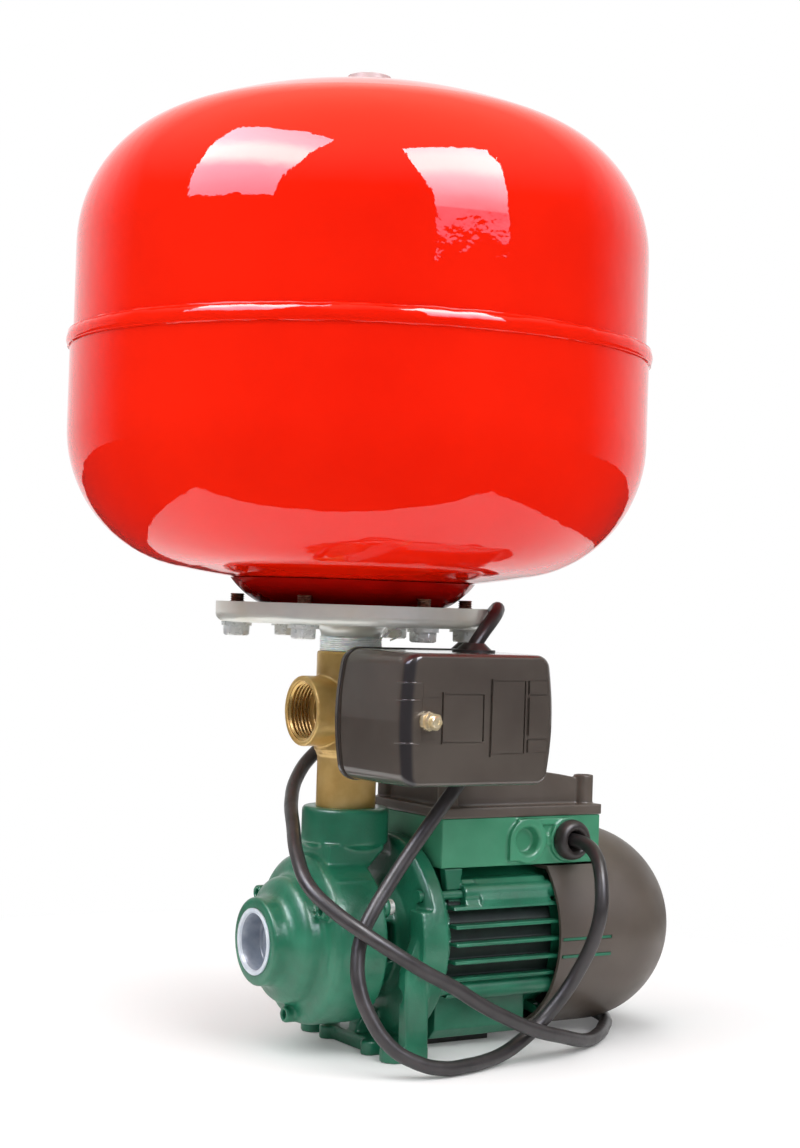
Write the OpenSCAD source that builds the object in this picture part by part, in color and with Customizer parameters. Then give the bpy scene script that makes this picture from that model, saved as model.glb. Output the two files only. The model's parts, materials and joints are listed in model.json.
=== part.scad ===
// Booster pump set: a small cast pump with its motor, a brass five-way fitting on the
// discharge, a pressure switch on the fitting and a squat red membrane tank on top.
// Origin: floor level, midway between the two bolt slots of the base.
// +Z is up, the pump shaft runs along X and the suction port faces -X.

/* [Stack on the discharge axis] */
// Distance of the discharge axis in front of the base slots
discharge_back = 10; // [8:0.5:12]
// Height of the shaft axis above the floor
axis_z = 63; // [62:0.5:66]
// Height of the machined face of the discharge boss
discharge_z = 137; // [134:0.5:142]
// Length of the brass fitting above the discharge boss
fitting_h = 88; // [86:1:100]
// Height of the side port's axis above the discharge boss
port_up = 54; // [52:1:58]

/* [Pressure tank] */
// Outer diameter of the upper shell
tank_d = 325; // [300:1:350]
// Thickness of the tank's sheet
tank_wall = 1.5; // [1:0.1:2]
// Height of the seam above the flange ring
seam_up = 143.5; // [141:0.5:150]
// Straight part of the upper shell above the seam
upper_straight = 55; // [45:1:65]
// Straight part of the lower shell below the seam
lower_straight = 49; // [40:1:52]
// Knuckle radius of the shells
knuckle_r = 77; // [70:1:84]
// Crown radius of the upper shell
upper_crown_r = 298; // [270:1:330]
// Crown radius of the flatter lower shell
lower_crown_r = 560; // [540:5:600]
// Diameter of the cap over the air valve
valve_cap_d = 25; // [24:1:32]

/* [Counter flange] */
// Outer diameter of the pressed flange
flange_d = 155; // [150:1:160]
// Height of the flange's rim
flange_h = 11.5; // [10:0.5:13]
// Thickness of the flange's sheet
flange_wall = 3; // [2:0.25:3.5]
// Circle that the flange bolts stand on
flange_pcd = 131; // [129:0.5:133]
// Number of flange bolts
flange_bolt_count = 6; // [4:1:8]
// Thread diameter of the flange bolts
flange_bolt_d = 8; // [6:1:8]
// Length of the tank's thread seen above the fitting
tank_thread_gap = 8; // [7.5:0.5:12]

/* [Brass fitting] */
// Diameter of the threaded ports (G 1, over the crests)
port_thread_d = 33.3; // [32.8:0.1:33.8]
// Wall around the top port
fitting_wall = 2.4; // [2:0.1:3]
// Wall around the side port
side_port_wall = 3.2; // [2.8:0.1:4]
// Reach of the side port from the fitting's axis
side_port_reach = 31; // [28:0.5:34]
// Depth of the threaded ports
port_thread_depth = 15; // [12:0.5:16]
// Diameter of the small switch and gauge ports
small_port_d = 13.2; // [12.8:0.1:13.6]

/* [Pressure switch] */
// Length of the switch cover along the shaft
cover_l = 94; // [90:1:96]
// Depth of the switch cover
cover_d = 65; // [63:1:70]
// Height of the switch cover
cover_h = 71; // [70:1:76]
// Wall of the switch cover
cover_wall = 2; // [1.5:0.1:2.5]
// Cover overhang on the suction side of the switch port
cover_front = 27; // [26:0.5:29]
// Stroke of the diaphragm plunger
plunger_stroke = 0.4; // [0.3:0.05:0.5]

/* [Pump] */
// Distance from the discharge axis to the suction face
suction_reach = 56; // [54:0.5:60]
// Diameter of the suction boss
suction_boss_d = 49; // [46:0.5:54]
// Diameter of the discharge boss
discharge_boss_d = 49.5; // [46:0.5:51]
// Diameter of the pump body
body_d = 96; // [94:1:100]
// Length of the pump body along the shaft
body_l = 32; // [31:0.5:34]
// Diameter of the impeller
impeller_d = 64; // [60:0.5:66]
// Thickness of the impeller
impeller_t = 9; // [8:0.25:9.5]
// Number of vanes on the impeller
vane_count = 30; // [20:1:36]

/* [Motor] */
// Outer diameter of the motor frame at the root of the fins
frame_d = 94; // [92:1:96]
// Wall of the motor frame
frame_wall = 3; // [2.5:0.25:3.5]
// Diameter over the tips of the fins
fin_tip_d = 109; // [104:1:112]
// Spacing of the fins
fin_pitch = 10; // [9.5:0.25:10.5]
// Thickness of a fin
fin_t = 2.2; // [1.6:0.1:3]
// Length of the motor frame
frame_l = 78; // [76:1:82]
// Length of the stator stack
stack_l = 50; // [44:1:52]
// Air gap between rotor and stator
air_gap = 0.35; // [0.3:0.05:0.5]
// Shaft diameter at the bearings
shaft_d = 15; // [12:0.5:16]
// Outer diameter of the fan cover
fan_cover_d = 118; // [116:1:120]
// Straight length of the fan cover before its dome
fan_cover_straight = 50; // [49:1:54]
// Diameter of the cooling fan
fan_d = 72; // [64:1:74]

/* [Terminal box] */
// Length of the terminal box
box_l = 111; // [108:1:114]
// Height of the terminal box above the frame line
box_h = 28; // [26:0.5:30]
// Height of the box's underside above the shaft axis
box_up = 41.5; // [41:0.5:43]
// Height of the hood on the lid
hood_h = 20; // [18:0.5:24]

/* [Base] */
// Width of the base over the outer lobes
base_w = 104; // [100:1:110]
// Thickness of the base lobes
base_t = 8; // [6:0.5:9]
// Distance between the two bolt slots
slot_spacing = 65; // [62:0.5:68]
// Width of a bolt slot
slot_w = 8.5; // [7:0.25:9]

/* [Cords] */
// Diameter of both cords
cord_d = 8; // [7.6:0.1:8.4]

/* [Hidden] */
$fn = 64;
eps = 0.01;
over = 10;

// Clearances: turning parts, parts pushed together, and pieces that only pass close by
run_gap = 0.05;
fit_gap = 0.05;
loose_gap = 0.3;

// Discharge stack
discharge_x = -discharge_back;
port_r = port_thread_d / 2;
fitting_r = port_r + fitting_wall;
fitting_top = discharge_z + fitting_h;
port_z = discharge_z + port_up;
barrel_r = 17;
barrel_top = port_z - port_r - side_port_wall - 2.6;
spigot_r = port_r - fit_gap;
spigot_l = port_thread_depth - 1;
duct_r = 12.5;
small_port_r = small_port_d / 2;
small_boss_r = small_port_r + 3;
small_boss_reach = 25;
small_port_depth = 10;

// Counter flange and flange ring
flange_r = flange_d / 2;
flange_z = fitting_top + tank_thread_gap + 7;
flange_top = flange_z + flange_h;
nipple_r = port_r - fit_gap;
nipple_wall = 3;
nipple_seat = 12;
tape_t = 1;
collar_r = 6.5;
gasket_t = 2;
ring_t = 4.6;
ring_z = flange_z + flange_wall + gasket_t + 0.2;
ring_r = flange_r - flange_wall - loose_gap;
ring_bore_r = 41;
bolt_circle_r = flange_pcd / 2;
bolt_r = flange_bolt_d / 2;
bolt_clock = 36;
washer_t = 2.2;
head_h = 5.6;
head_af = 13;
bolt_end_up = 5.5;

// Tank shells
bowl_top_r = 70;
bowl_foot_r = 50;
bowl_centre_r = 33;
bowl_t = 3;
shell_gap = 0.2;
upper_r = tank_d / 2;
lower_r = upper_r + tank_wall + shell_gap;
seam_z = flange_top + seam_up;
lap = 12;
bead_h = 8;
bead_t = 1.2;
upper_knuckle_z = seam_z + upper_straight;
lower_knuckle_z = seam_z - lower_straight;
upper_centre_z = upper_knuckle_z - crown_drop(upper_r, upper_crown_r);
lower_centre_z = lower_knuckle_z + crown_drop(lower_r, lower_crown_r);
upper_apex = upper_centre_z + upper_crown_r;
shell_hole_r = bowl_top_r - 2;
shell_at_bowl_z = lower_centre_z - sqrt(pow(lower_crown_r, 2) - pow(shell_hole_r, 2));
ring_top = ring_z + ring_t;
bowl_centre_z = (ring_top + shell_at_bowl_z) / 2
    + (pow(bowl_top_r - bowl_centre_r, 2) - pow(bowl_foot_r - bowl_centre_r, 2))
    / (2 * (shell_at_bowl_z - ring_top));
bowl_arc_r = norm([bowl_foot_r - bowl_centre_r, bowl_centre_z - ring_top]);
bag_r = 105;
bag_z = ring_z + 128;
bag_t = 2;
bag_neck_r = 38;
bag_lip_r = bolt_circle_r - bolt_r - 1.5;

// Air valve on the crown
valve_r = 4;
valve_core_r = 1.2;
valve_flange_r = 10;
valve_up = 8;
valve_stroke = 1;
valve_pocket = 3;
cap_r = valve_cap_d / 2;
cap_h = 12;
cap_dome_r = 34;
cap_t = 1.6;

// Pressure switch, measured outward along -Y from the discharge axis
connector_y = -small_boss_reach;
hex_l = 8;
flange_y = connector_y - hex_l;
pot_r = 24;
pot_h = 6;
plate_y = flange_y - pot_h;
plate_t = 2;
diaphragm_t = 1.5;
cover_back_y = plate_y - 0.5;
cover_front_y = cover_back_y - cover_d;
cover_x0 = discharge_x - cover_front;
cover_x1 = cover_x0 + cover_l;
cover_z0 = port_z - cover_h / 2 + 1;
cover_z1 = cover_z0 + cover_h;
cover_round = 8;
cover_edge = 6;
cover_taper = 1;
stud_x = discharge_x - 14.6;
stud_z = port_z + 1;
stud_r = 3;
second_stud_x = discharge_x + 13;
lever_y = plate_y - 12;
lever_t = 2;
lever_pivot_x = cover_x0 + 7;
lever_end_x = discharge_x + 34;
bridge_l = 9;
bridge_w = 12;
plunger_r = 8;
plunger_nose_r = 4;
spring_r = 6.5;
spring_wire_r = 0.8;
range_spring_l = 34;
diff_spring_l = 26;
// The lever moves these distances before it would touch its springs
range_gap = plunger_stroke * 0.9 + 0.1;
diff_gap = plunger_stroke * 2 + 0.1;
panel_t = 0.4;
gland_y = cover_back_y - 26.5;
gland_top_x = 30;
gland_bottom_x = 22;
gland_flange_r = 12;
gland_stem_r = 8;
gland_flange_t = 1.3;
gland_up = 5;
gland_down = 2.4;

// Pump casing stations along X
suction_x = discharge_x - suction_reach;
body_x1 = discharge_x + 2;
body_x0 = body_x1 - body_l;
body_r = body_d / 2;
hat_r = 35.8;
hat_x0 = body_x0 - 10;
suction_r = suction_boss_d / 2;
plug_flange_r = 18.5;
plug_flange_t = 1.2;
plug_tube_r = port_r - 0.15;
channel_r0 = 27;
channel_r1 = impeller_d / 2 + 4;
channel_x0 = body_x0 + 10;
inlet_x0 = body_x0 + 1.5;
inlet_x1 = channel_x0 - 2.5;
seal_plate_t = 5;
seal_plate_x = body_x1 - seal_plate_t;
seal_plate_r = channel_r1 + 3.2;
impeller_x = seal_plate_x - 4 - impeller_t;
casing_screw_r = 2.5;
casing_screw_circle = seal_plate_r + casing_screw_r + loose_gap;
oring_r = channel_r1 + 1.6;
oring_section_r = 0.7;
screw_boss_r = 4.6;
screw_boss_x = body_x0 - 6;
casing_screw_angles = [30, 150, 270];
neck_w = 42;
neck_x0 = discharge_x - 21.5;
neck_x1 = discharge_x + 14;
discharge_boss_r = discharge_boss_d / 2;
discharge_boss_z = discharge_z - 20;

// Motor stations along X
bracket_x1 = 26;
bracket_r = 58;
web_x = bracket_x1 - 11;
lantern_r = 30;
frame_x0 = bracket_x1;
frame_x1 = frame_x0 + frame_l;
frame_r = frame_d / 2;
bore_r = frame_r - frame_wall;
fin_tip_r = fin_tip_d / 2;
fin_x0 = frame_x0 + 7;
tie_y = 43;
tie_up = 27;
tie_r = 2.5;
tie_boss_r = 5.5;
shoulder_y = 45;
tie_head_r = 3.6;
tie_boss_x = frame_x0 + 16;
keel_w = 68;
keel_z = 6;
keel_l = 62;
stack_x0 = frame_x0 + 13;
rotor_r = 26;
stator_bore_r = rotor_r + air_gap;
slot_count = 24;
shaft_r = shaft_d / 2;
shaft_nose_r = 6;
bearing_r = 17.5;
bearing_w = 11;
front_bearing_x = bracket_x1 - 13;
shield_t = 6;
shield_x1 = frame_x1 + shield_t;
rear_bearing_x = shield_x1 - bearing_w - 1.2;
fan_x = shield_x1 + 4;
fan_w = 14;
fan_r = fan_d / 2;
cover_r = fan_cover_d / 2;
fan_cover_wall = 2;
fan_cover_x0 = frame_x1 - 2;
dome_x = fan_cover_x0 + fan_cover_straight;
guide_t = 1.6;
guide_x1 = fan_cover_x0 + 37;
slot_open = 2;

// Terminal box
box_x0 = frame_x0 + 3;
box_x1 = box_x0 + box_l;
box_y0 = -42;
box_y1 = 36;
box_wall = 2.5;
box_z0 = axis_z + box_up;
box_z1 = box_z0 + box_h;
saddle_r = frame_r + loose_gap;
lid_flange_t = 6;
lid_wall = 2;
lid_z = box_z1 + lid_flange_t;
hood_top = lid_z + hood_h;
hood_x0 = box_x0 + 7;
hood_x1 = box_x1 - 12;
hood_y0 = box_y0 + 6;
hood_y1 = box_y1 - 5;
tower_r = 5.8;
tower_h = 17;
tower_inset = 7.5;
lid_screw_r = 1.65;
lid_head_r = 3.3;
lid_seat_h = 4;
lid_screw_grip = 10;
cap_body_r = 14;
cap_x0 = box_x0 + 38;
cap_l = 58;
block_x0 = box_x0 + 9;
block_w = 13;
block_half_l = 22;
block_h = 12;
block_pitch = 8;
blank_gland_x = box_x1 - 53;
grommet_x = box_x1 - 24;
gland_z = box_z0 + 14.2;
entry_boss_r = 12.9;
entry_boss_l = 3;
entry_hole_r = 9;
notch_x = box_x1 + 2;
notch_z = box_z0 - 1;

// Base
foot_x1 = 18;
lobe_tip_x = -8.2;
base_y = base_w / 2;
leg_mid_y = base_y - 4;
slot_y = slot_spacing / 2;
slot_r = slot_w / 2;

// Cord from the terminal box to the underside of the switch
cord_r = cord_d / 2;
grommet_nose = 9;
motor_route = [[116, -46, 118.7], [116, -54, 118.6], [115.7, -63.5, 117.2], [114.2, -73, 112.8],
    [111.6, -80.8, 105], [109.3, -85.6, 95.2], [107.9, -87.4, 84.5], [106.5, -86, 73], [104.3, -82.4, 61],
    [101, -78, 49.5], [95.5, -74.5, 38], [88, -72.2, 28], [78.5, -71, 18.7], [66, -72, 10.8],
    [52, -75.5, 6], [37, -80.5, 4.3], [21, -85.5, 4.2], [4, -88, 4.8], [-13, -87, 9.5],
    [-27, -83, 18.5], [-36, -77, 33], [-40, -71, 49], [-39, -67, 63], [-35, -65, 76], [-28, -64, 88],
    [-19, -63, 100], [-9, -63, 113.5], [1.5, -64, 127.5], [11, -65, 140], [18.5, -65.8, 149.5],
    [24, -66, 156.5]];
// Mains cord from the top of the switch, behind the fitting, across the pump, to the coil
mains_route = [[26.5, -66.6, 225], [31, -66, 232], [37, -64.5, 238.7], [45, -60.6, 245], [53, -54, 249.8],
    [60.5, -44, 252], [67, -31, 250], [70, -15, 241], [66, 2, 227], [53, 18, 210],
    [35, 33, 194], [14, 42, 178], [-8, 42, 163], [-24, 32, 151], [-37, 15, 139],
    [-47, -6, 127], [-56, -28, 113], [-58, -46, 99], [-51, -60, 88], [-40, -72, 78],
    [-25, -80, 67.5], [-8, -84, 57], [11, -86, 47], [28, -86, 37], [46, -86, 28],
    [68, -82, 19], [92, -75, 12], [120, -62, 4.8], [140, -48, 4.2], [155, -33, 4.2],
    [168, -18, 4.2], [177, 0, 4.2], [180, 22, 4.2], [178, 46, 4.2], [174, 72, 4.2],
    [172, 94, 4.2], [172, 112, 4.2]];
// Rest of the mains cord: a round coil behind the motor, then a short tail to the plug
coil_centre = [124, 112, 0];
coil_mid_r = 44;
coil_band_r = 8.5;
tail_route = [[165, 97, 12], [168, 110, 12.4], [170, 124, 12.4], [171.5, 138, 9.5],
    [172.5, 151, 5.5], [172.5, 163, 4.6], [170.5, 174, 7], [165, 184, 11], [156, 191.4, 15.5],
    [145, 195.4, 18.5], [135.7, 196.9, 19]];
plug_at = [118, 200, 19];
plug_turn = 170;
plug_body_l = 34;
plug_body_r = 18.8;
plug_relief_l = 26;

// Height that a torispherical crown's centre lies from its knuckle's centre
function crown_drop(r, crown) = sqrt(pow(crown - knuckle_r, 2) - pow(r - knuckle_r, 2));

// Smooth curve through route points, three rings to a stretch
function spline_point(a, b, c, d, t) =
    0.5 * (2 * b + (c - a) * t + (2 * a - 5 * b + 4 * c - d) * t * t
    + (3 * b - a - 3 * c + d) * t * t * t);
function smooth(p, n) = let (last = len(p) - 1) concat(
    [for (i = [0 : last - 1]) for (k = [0 : n - 1])
        spline_point(p[max(i - 1, 0)], p[i], p[i + 1], p[min(i + 2, last)], k / n)],
    [p[last]]);
function unit(v) = v / norm(v);
function arc_points(centre, r, a0, a1, n) =
    [for (k = [0 : n]) centre + r * [cos(a0 + (a1 - a0) * k / n), sin(a0 + (a1 - a0) * k / n)]];
function tangent(p, i) = unit(p[min(i + 1, len(p) - 1)] - p[max(i - 1, 0)]);
function carried(v, t) = unit(v - (v * t) * t);
function side_vectors(p) = [for (i = 0, s = carried([0.3, 0.9, 0.2], tangent(p, 0));
    i < len(p); i = i + 1, s = i < len(p) ? carried(s, tangent(p, i)) : s) s];
function ring_points(c, s, t, r, n) = let (w = cross(t, s))
    [for (k = [0 : n - 1]) c + r * (cos(360 * k / n) * s + sin(360 * k / n) * w)];

// Tube swept along points, closed at both ends
module tube(p, r, n) {
    sides = side_vectors(p);
    m = len(p);
    pts = [for (i = [0 : m - 1]) each ring_points(p[i], sides[i], tangent(p, i), r, n)];
    walls = [for (i = [0 : m - 2]) for (k = [0 : n - 1]) let (j = (k + 1) % n)
        each [[i * n + k, (i + 1) * n + j, i * n + j], [i * n + k, (i + 1) * n + k, (i + 1) * n + j]]];
    caps = [[for (k = [0 : n - 1]) k], [for (k = [n - 1 : -1 : 0]) (m - 1) * n + k]];
    polyhedron(pts, concat(walls, caps));
}

// Children drawn about Z stand on the shaft axis and point along +X
module on_shaft(x = 0) translate([x, 0, axis_z]) rotate([0, 90, 0]) children();
module on_discharge(z = 0) translate([discharge_x, 0, z]) children();
module rod_x(x0, x1, y, z, r) translate([x0, y, z]) rotate([0, 90, 0]) cylinder(r = r, h = x1 - x0);
module rod_y(y0, y1, x, z, r) translate([x, y0, z]) rotate([-90, 0, 0]) cylinder(r = r, h = y1 - y0);
module rod_z(z0, z1, x, y, r) translate([x, y, z0]) cylinder(r = r, h = z1 - z0);
module ring(r0, r1, h) difference() {
    cylinder(r = r1, h = h);
    translate([0, 0, -1]) cylinder(r = r0, h = h + 2);
}
module hexagon(af, h) cylinder(r = af / sqrt(3), h = h, $fn = 6);
// A section drawn in (Y, Z) and pulled along X
module along_x(x0, x1) translate([x0, 0, 0]) rotate([90, 0, 90]) linear_extrude(x1 - x0) children();
// Rectangle with round corners, drawn inset from the outline that the corners belong to
module round_rect(a, b, r, inset) {
    for (x = [a[0] + r, b[0] - r]) for (y = [a[1] + r, b[1] - r]) translate([x, y]) circle(r = r - inset);
    translate([a[0] + r, a[1] + inset]) square([b[0] - a[0] - 2 * r, b[1] - a[1] - 2 * inset]);
    translate([a[0] + inset, a[1] + r]) square([b[0] - a[0] - 2 * inset, b[1] - a[1] - 2 * r]);
}
// A section drawn in (X, Z) and pulled along Y
module along_y(y0, y1) translate([0, y1, 0]) rotate([90, 0, 0]) linear_extrude(y1 - y0) children();
module block(a, b) translate(a) cube(b - a);
module at_flange_bolts() on_discharge() for (i = [0 : flange_bolt_count - 1])
    rotate([0, 0, bolt_clock + 360 * i / flange_bolt_count]) translate([bolt_circle_r, 0, 0]) children();
module at_tie_bolts() for (y = [-tie_y, tie_y]) for (z = [-tie_up, tie_up])
    translate([0, y, axis_z + z]) rotate([0, 90, 0]) children();
module at_casing_screws() for (a = casing_screw_angles)
    translate([0, casing_screw_circle * cos(a), axis_z + casing_screw_circle * sin(a)])
        rotate([0, 90, 0]) children();
module at_lid_towers() for (x = [box_x0 + tower_inset, box_x1 - tower_inset])
    for (y = [box_y0 + 7, box_y1 - 6]) translate([x, y, 0]) children();

// Torispherical head as a half section; up is 1 for a dome and -1 for a bottom
module head_section(r, knuckle, crown, knuckle_z, centre_z, from_z, up) {
    reach = crown + over;
    dir = unit([r - knuckle, up * abs(knuckle_z - centre_z)]);
    intersection() {
        union() {
            translate([0, min(from_z, knuckle_z)]) square([r, abs(knuckle_z - from_z)]);
            translate([r - knuckle, knuckle_z]) circle(r = knuckle, $fn = 180);
            polygon([[0, knuckle_z], [r - knuckle, knuckle_z], [r - knuckle, knuckle_z] + knuckle * dir,
                [0, centre_z + up * crown * 0.99]]);
            intersection() {
                translate([0, centre_z]) circle(r = crown, $fn = 360);
                polygon([[0, centre_z], [0, centre_z + up * reach], [0, centre_z] + reach * dir]);
            }
        }
        translate([0, up > 0 ? from_z : knuckle_z - reach])
            square([r + over, up > 0 ? reach : from_z - knuckle_z + reach]);
    }
}

module tank_upper_shell() color("#c8120c") on_discharge() difference() {
    rotate_extrude($fn = 180) difference() {
        head_section(upper_r, knuckle_r, upper_crown_r, upper_knuckle_z, upper_centre_z,
            seam_z - lap, 1);
        translate([0, -eps]) head_section(upper_r - tank_wall, knuckle_r - tank_wall,
            upper_crown_r - tank_wall, upper_knuckle_z, upper_centre_z, seam_z - lap - 1, 1);
    }
    translate([0, 0, upper_apex - 10]) cylinder(r = valve_r + fit_gap, h = 20);
}

module tank_lower_shell() color("#c8120c") on_discharge() {
    difference() {
        rotate_extrude($fn = 180) difference() {
            head_section(lower_r, knuckle_r, lower_crown_r, lower_knuckle_z, lower_centre_z, seam_z, -1);
            translate([0, eps]) head_section(lower_r - tank_wall, knuckle_r - tank_wall,
                lower_crown_r - tank_wall, lower_knuckle_z, lower_centre_z, seam_z + 1, -1);
        }
        translate([0, 0, flange_z]) cylinder(r = shell_hole_r, h = 60);
    }
    // Painted weld bead that closes the lap
    translate([0, 0, seam_z - bead_h / 2]) rotate_extrude($fn = 180) translate([upper_r + shell_gap / 2, 0])
        difference() {
            square([lower_r - upper_r - shell_gap / 2 + bead_t, bead_h]);
            translate([-1, -1]) square([lower_r - upper_r - tank_wall + 1.1, bead_h / 2 + 1]);
        }
}

// Flange ring that the bolts screw into, with the bowl that carries the lower shell
module tank_neck_ring() color("#b8100b") on_discharge() {
    difference() {
        translate([0, 0, ring_z]) ring(ring_bore_r, ring_r, ring_t);
        for (i = [0 : flange_bolt_count - 1]) rotate([0, 0, bolt_clock + 360 * i / flange_bolt_count])
            translate([bolt_circle_r, 0, ring_z - 1]) cylinder(r = bolt_r + fit_gap, h = ring_t + 2);
    }
    centre = [bowl_centre_r, bowl_centre_z];
    foot_angle = -asin((bowl_centre_z - ring_top + 1) / bowl_arc_r);
    top_angle = -asin((bowl_centre_z - shell_at_bowl_z + shell_gap) / bowl_arc_r);
    inner_top_angle = -asin((bowl_centre_z - shell_at_bowl_z + shell_gap) / (bowl_arc_r - bowl_t));
    rotate_extrude($fn = 120) polygon(concat(
        arc_points(centre, bowl_arc_r, foot_angle, top_angle, 9),
        arc_points(centre, bowl_arc_r - bowl_t, inner_top_angle, foot_angle, 9)));
}

module tank_membrane() color("#2a2a2a") on_discharge() rotate_extrude($fn = 96) {
    translate([nipple_r + 3, flange_z + flange_wall + 0.1])
        square([bag_lip_r - nipple_r - 3, gasket_t - 0.1]);
    difference() {
        intersection() {
            union() {
                translate([0, bag_z]) circle(r = bag_r, $fn = 120);
                translate([0, flange_z + flange_wall + 0.1]) square([bag_neck_r, bag_z - ring_z]);
            }
            translate([0, flange_z + flange_wall + 0.1]) square([bag_r + over, bag_z]);
        }
        translate([0, bag_z]) circle(r = bag_r - bag_t, $fn = 120);
        translate([0, flange_z]) square([bag_neck_r - bag_t, bag_z - ring_z]);
    }
}

module air_valve() color("#c9a24a") on_discharge() difference() {
    union() {
        translate([0, 0, upper_apex - 9]) cylinder(r = valve_r, h = 9 + valve_up);
        translate([0, 0, upper_apex - tank_wall - 2.6]) cylinder(r = valve_flange_r, h = 2);
        translate([0, 0, upper_apex + 0.2]) cylinder(r = valve_flange_r - 3, h = 2.4);
    }
    translate([0, 0, upper_apex - 10]) cylinder(r = valve_core_r + run_gap, h = 30);
    translate([0, 0, upper_apex + valve_up - valve_pocket]) cylinder(r = 2.4, h = valve_pocket + 1);
}

module valve_pin() color("silver") on_discharge() {
    translate([0, 0, upper_apex - 8]) cylinder(r = valve_core_r, h = valve_up + 7);
    translate([0, 0, upper_apex + valve_up - valve_pocket + valve_stroke + 0.4])
        cylinder(r = valve_core_r + 0.5, h = 0.6);
}

module valve_cap() color("#c9c9c6") on_discharge() difference() {
    intersection() {
        translate([0, 0, upper_apex - 1]) cylinder(r = cap_r, h = cap_h + 1);
        translate([0, 0, upper_apex + cap_h - cap_dome_r]) sphere(r = cap_dome_r, $fn = 96);
    }
    difference() {
        translate([0, 0, upper_apex - 2]) cylinder(r = cap_r - cap_t, h = valve_up + 2 + loose_gap);
        translate([0, 0, upper_apex + valve_up / 2]) ring(valve_r + run_gap, valve_r + cap_t, valve_up);
    }
    translate([0, 0, upper_centre_z]) sphere(r = upper_crown_r + 0.1, $fn = 360);
}

module counter_flange() color("#b9bcc0") on_discharge(flange_z) difference() {
    rotate_extrude($fn = 120) difference() {
        union() {
            translate([nipple_r + fit_gap, 0]) square([flange_r - nipple_r - 5 - fit_gap, flange_wall]);
            translate([0, 5]) square([flange_r, flange_h - 5]);
            translate([flange_r - 5, 5]) circle(r = 5, $fn = 48);
            // Drawn collar around the nipple
            difference() {
                translate([nipple_r + fit_gap, -collar_r]) square([collar_r + 0.6, collar_r + 1]);
                translate([nipple_r + fit_gap + 0.6 + collar_r, -collar_r]) circle(r = collar_r, $fn = 48);
            }
        }
        translate([-1, flange_wall]) square([flange_r - flange_wall + 1, flange_h]);
        translate([-1, -20]) square([nipple_r + fit_gap + 1, 40]);
    }
    for (i = [0 : flange_bolt_count - 1]) rotate([0, 0, bolt_clock + 360 * i / flange_bolt_count])
        translate([bolt_circle_r, 0, -1]) cylinder(r = bolt_r + 0.3, h = flange_wall + 2);
}

module flange_nipple() color("#c4c6c8") on_discharge(fitting_top - nipple_seat)
    ring(nipple_r - nipple_wall, nipple_r, flange_z + flange_wall - fitting_top + nipple_seat);

module thread_tape() color("white") on_discharge(fitting_top + 0.1) rotate_extrude()
    translate([nipple_r + fit_gap, 0]) difference() {
        square([tape_t, tank_thread_gap - 0.2 - collar_r + 7]);
        translate([tape_t - 0.3, -eps]) square([1, 0.4]);
    }

module flange_bolts() color("#aeb4b8") at_flange_bolts() {
    translate([0, 0, flange_z - washer_t - head_h]) difference() {
        hexagon(head_af, head_h);
        translate([0, 0, -eps]) cylinder(r = 3, h = 0.5);
    }
    translate([0, 0, flange_z - washer_t - 1]) cylinder(r = bolt_r, h = ring_z + ring_t + bolt_end_up
        - flange_z + washer_t + 1);
}

module flange_washers() color("#c2c6c9") at_flange_bolts() translate([0, 0, flange_z - washer_t])
    ring(bolt_r + fit_gap, bolt_r * 2 + 0.6, washer_t);

module five_way_fitting() color("#c79a45") on_discharge() difference() {
    union() {
        translate([0, 0, barrel_top]) cylinder(r = fitting_r, h = fitting_top - barrel_top - 0.8);
        translate([0, 0, fitting_top - 0.8]) cylinder(r1 = fitting_r, r2 = fitting_r - 0.8, h = 0.8);
        translate([0, 0, discharge_z]) cylinder(r = barrel_r, h = barrel_top - discharge_z + 1);
        translate([0, 0, barrel_top - 2.4]) cylinder(r = barrel_r + 0.8, h = 1.4);
        translate([0, 0, discharge_z - spigot_l]) cylinder(r = spigot_r, h = spigot_l + 1);
        translate([0, 0, port_z]) rotate([0, -90, 0])
            cylinder(r = port_r + side_port_wall, h = side_port_reach);
        translate([0, 0, port_z]) rotate([90, 0, 0])
            translate([0, 0, -small_boss_reach]) cylinder(r = small_boss_r, h = 2 * small_boss_reach);
    }
    translate([0, 0, discharge_z - spigot_l - 1]) cylinder(r = duct_r, h = fitting_h + spigot_l);
    translate([0, 0, fitting_top - port_thread_depth]) cylinder(r = port_r, h = port_thread_depth + 1);
    translate([0, 0, port_z]) rotate([0, -90, 0]) cylinder(r = duct_r, h = side_port_reach);
    translate([-side_port_reach - 1, 0, port_z]) rotate([0, 90, 0])
        cylinder(r = port_r, h = port_thread_depth + 1);
    for (s = [-1, 1]) translate([0, s * (small_boss_reach + 1), port_z]) rotate([s * 90, 0, 0])
        cylinder(r = small_port_r, h = small_port_depth + 1);
    translate([0, -small_boss_reach, port_z]) rotate([-90, 0, 0]) cylinder(r = 4, h = 2 * small_boss_reach);
}

module port_plug() color("#c79a45") {
    rod_y(small_boss_reach - small_port_depth + 1, small_boss_reach + 1, discharge_x, port_z,
        small_port_r - fit_gap);
    translate([discharge_x, small_boss_reach + 0.05, port_z]) rotate([-90, 0, 0]) hexagon(17, 7);
}

// Screwed connector with the lower half of the diaphragm housing
module switch_connector() color("#aeb2b6") difference() {
    union() {
        rod_y(connector_y - 1, connector_y + small_port_depth - 1, discharge_x, port_z,
            small_port_r - fit_gap);
        translate([discharge_x, flange_y - 1, port_z]) rotate([-90, 0, 0]) hexagon(22, hex_l + 0.95);
        rod_y(plate_y + 0.05, flange_y, discharge_x, port_z, pot_r);
    }
    rod_y(flange_y - 4, connector_y + 20, discharge_x, port_z, 3);
    rod_y(plate_y - 1, plate_y + 3.5, discharge_x, port_z, pot_r - 4);
}

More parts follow.
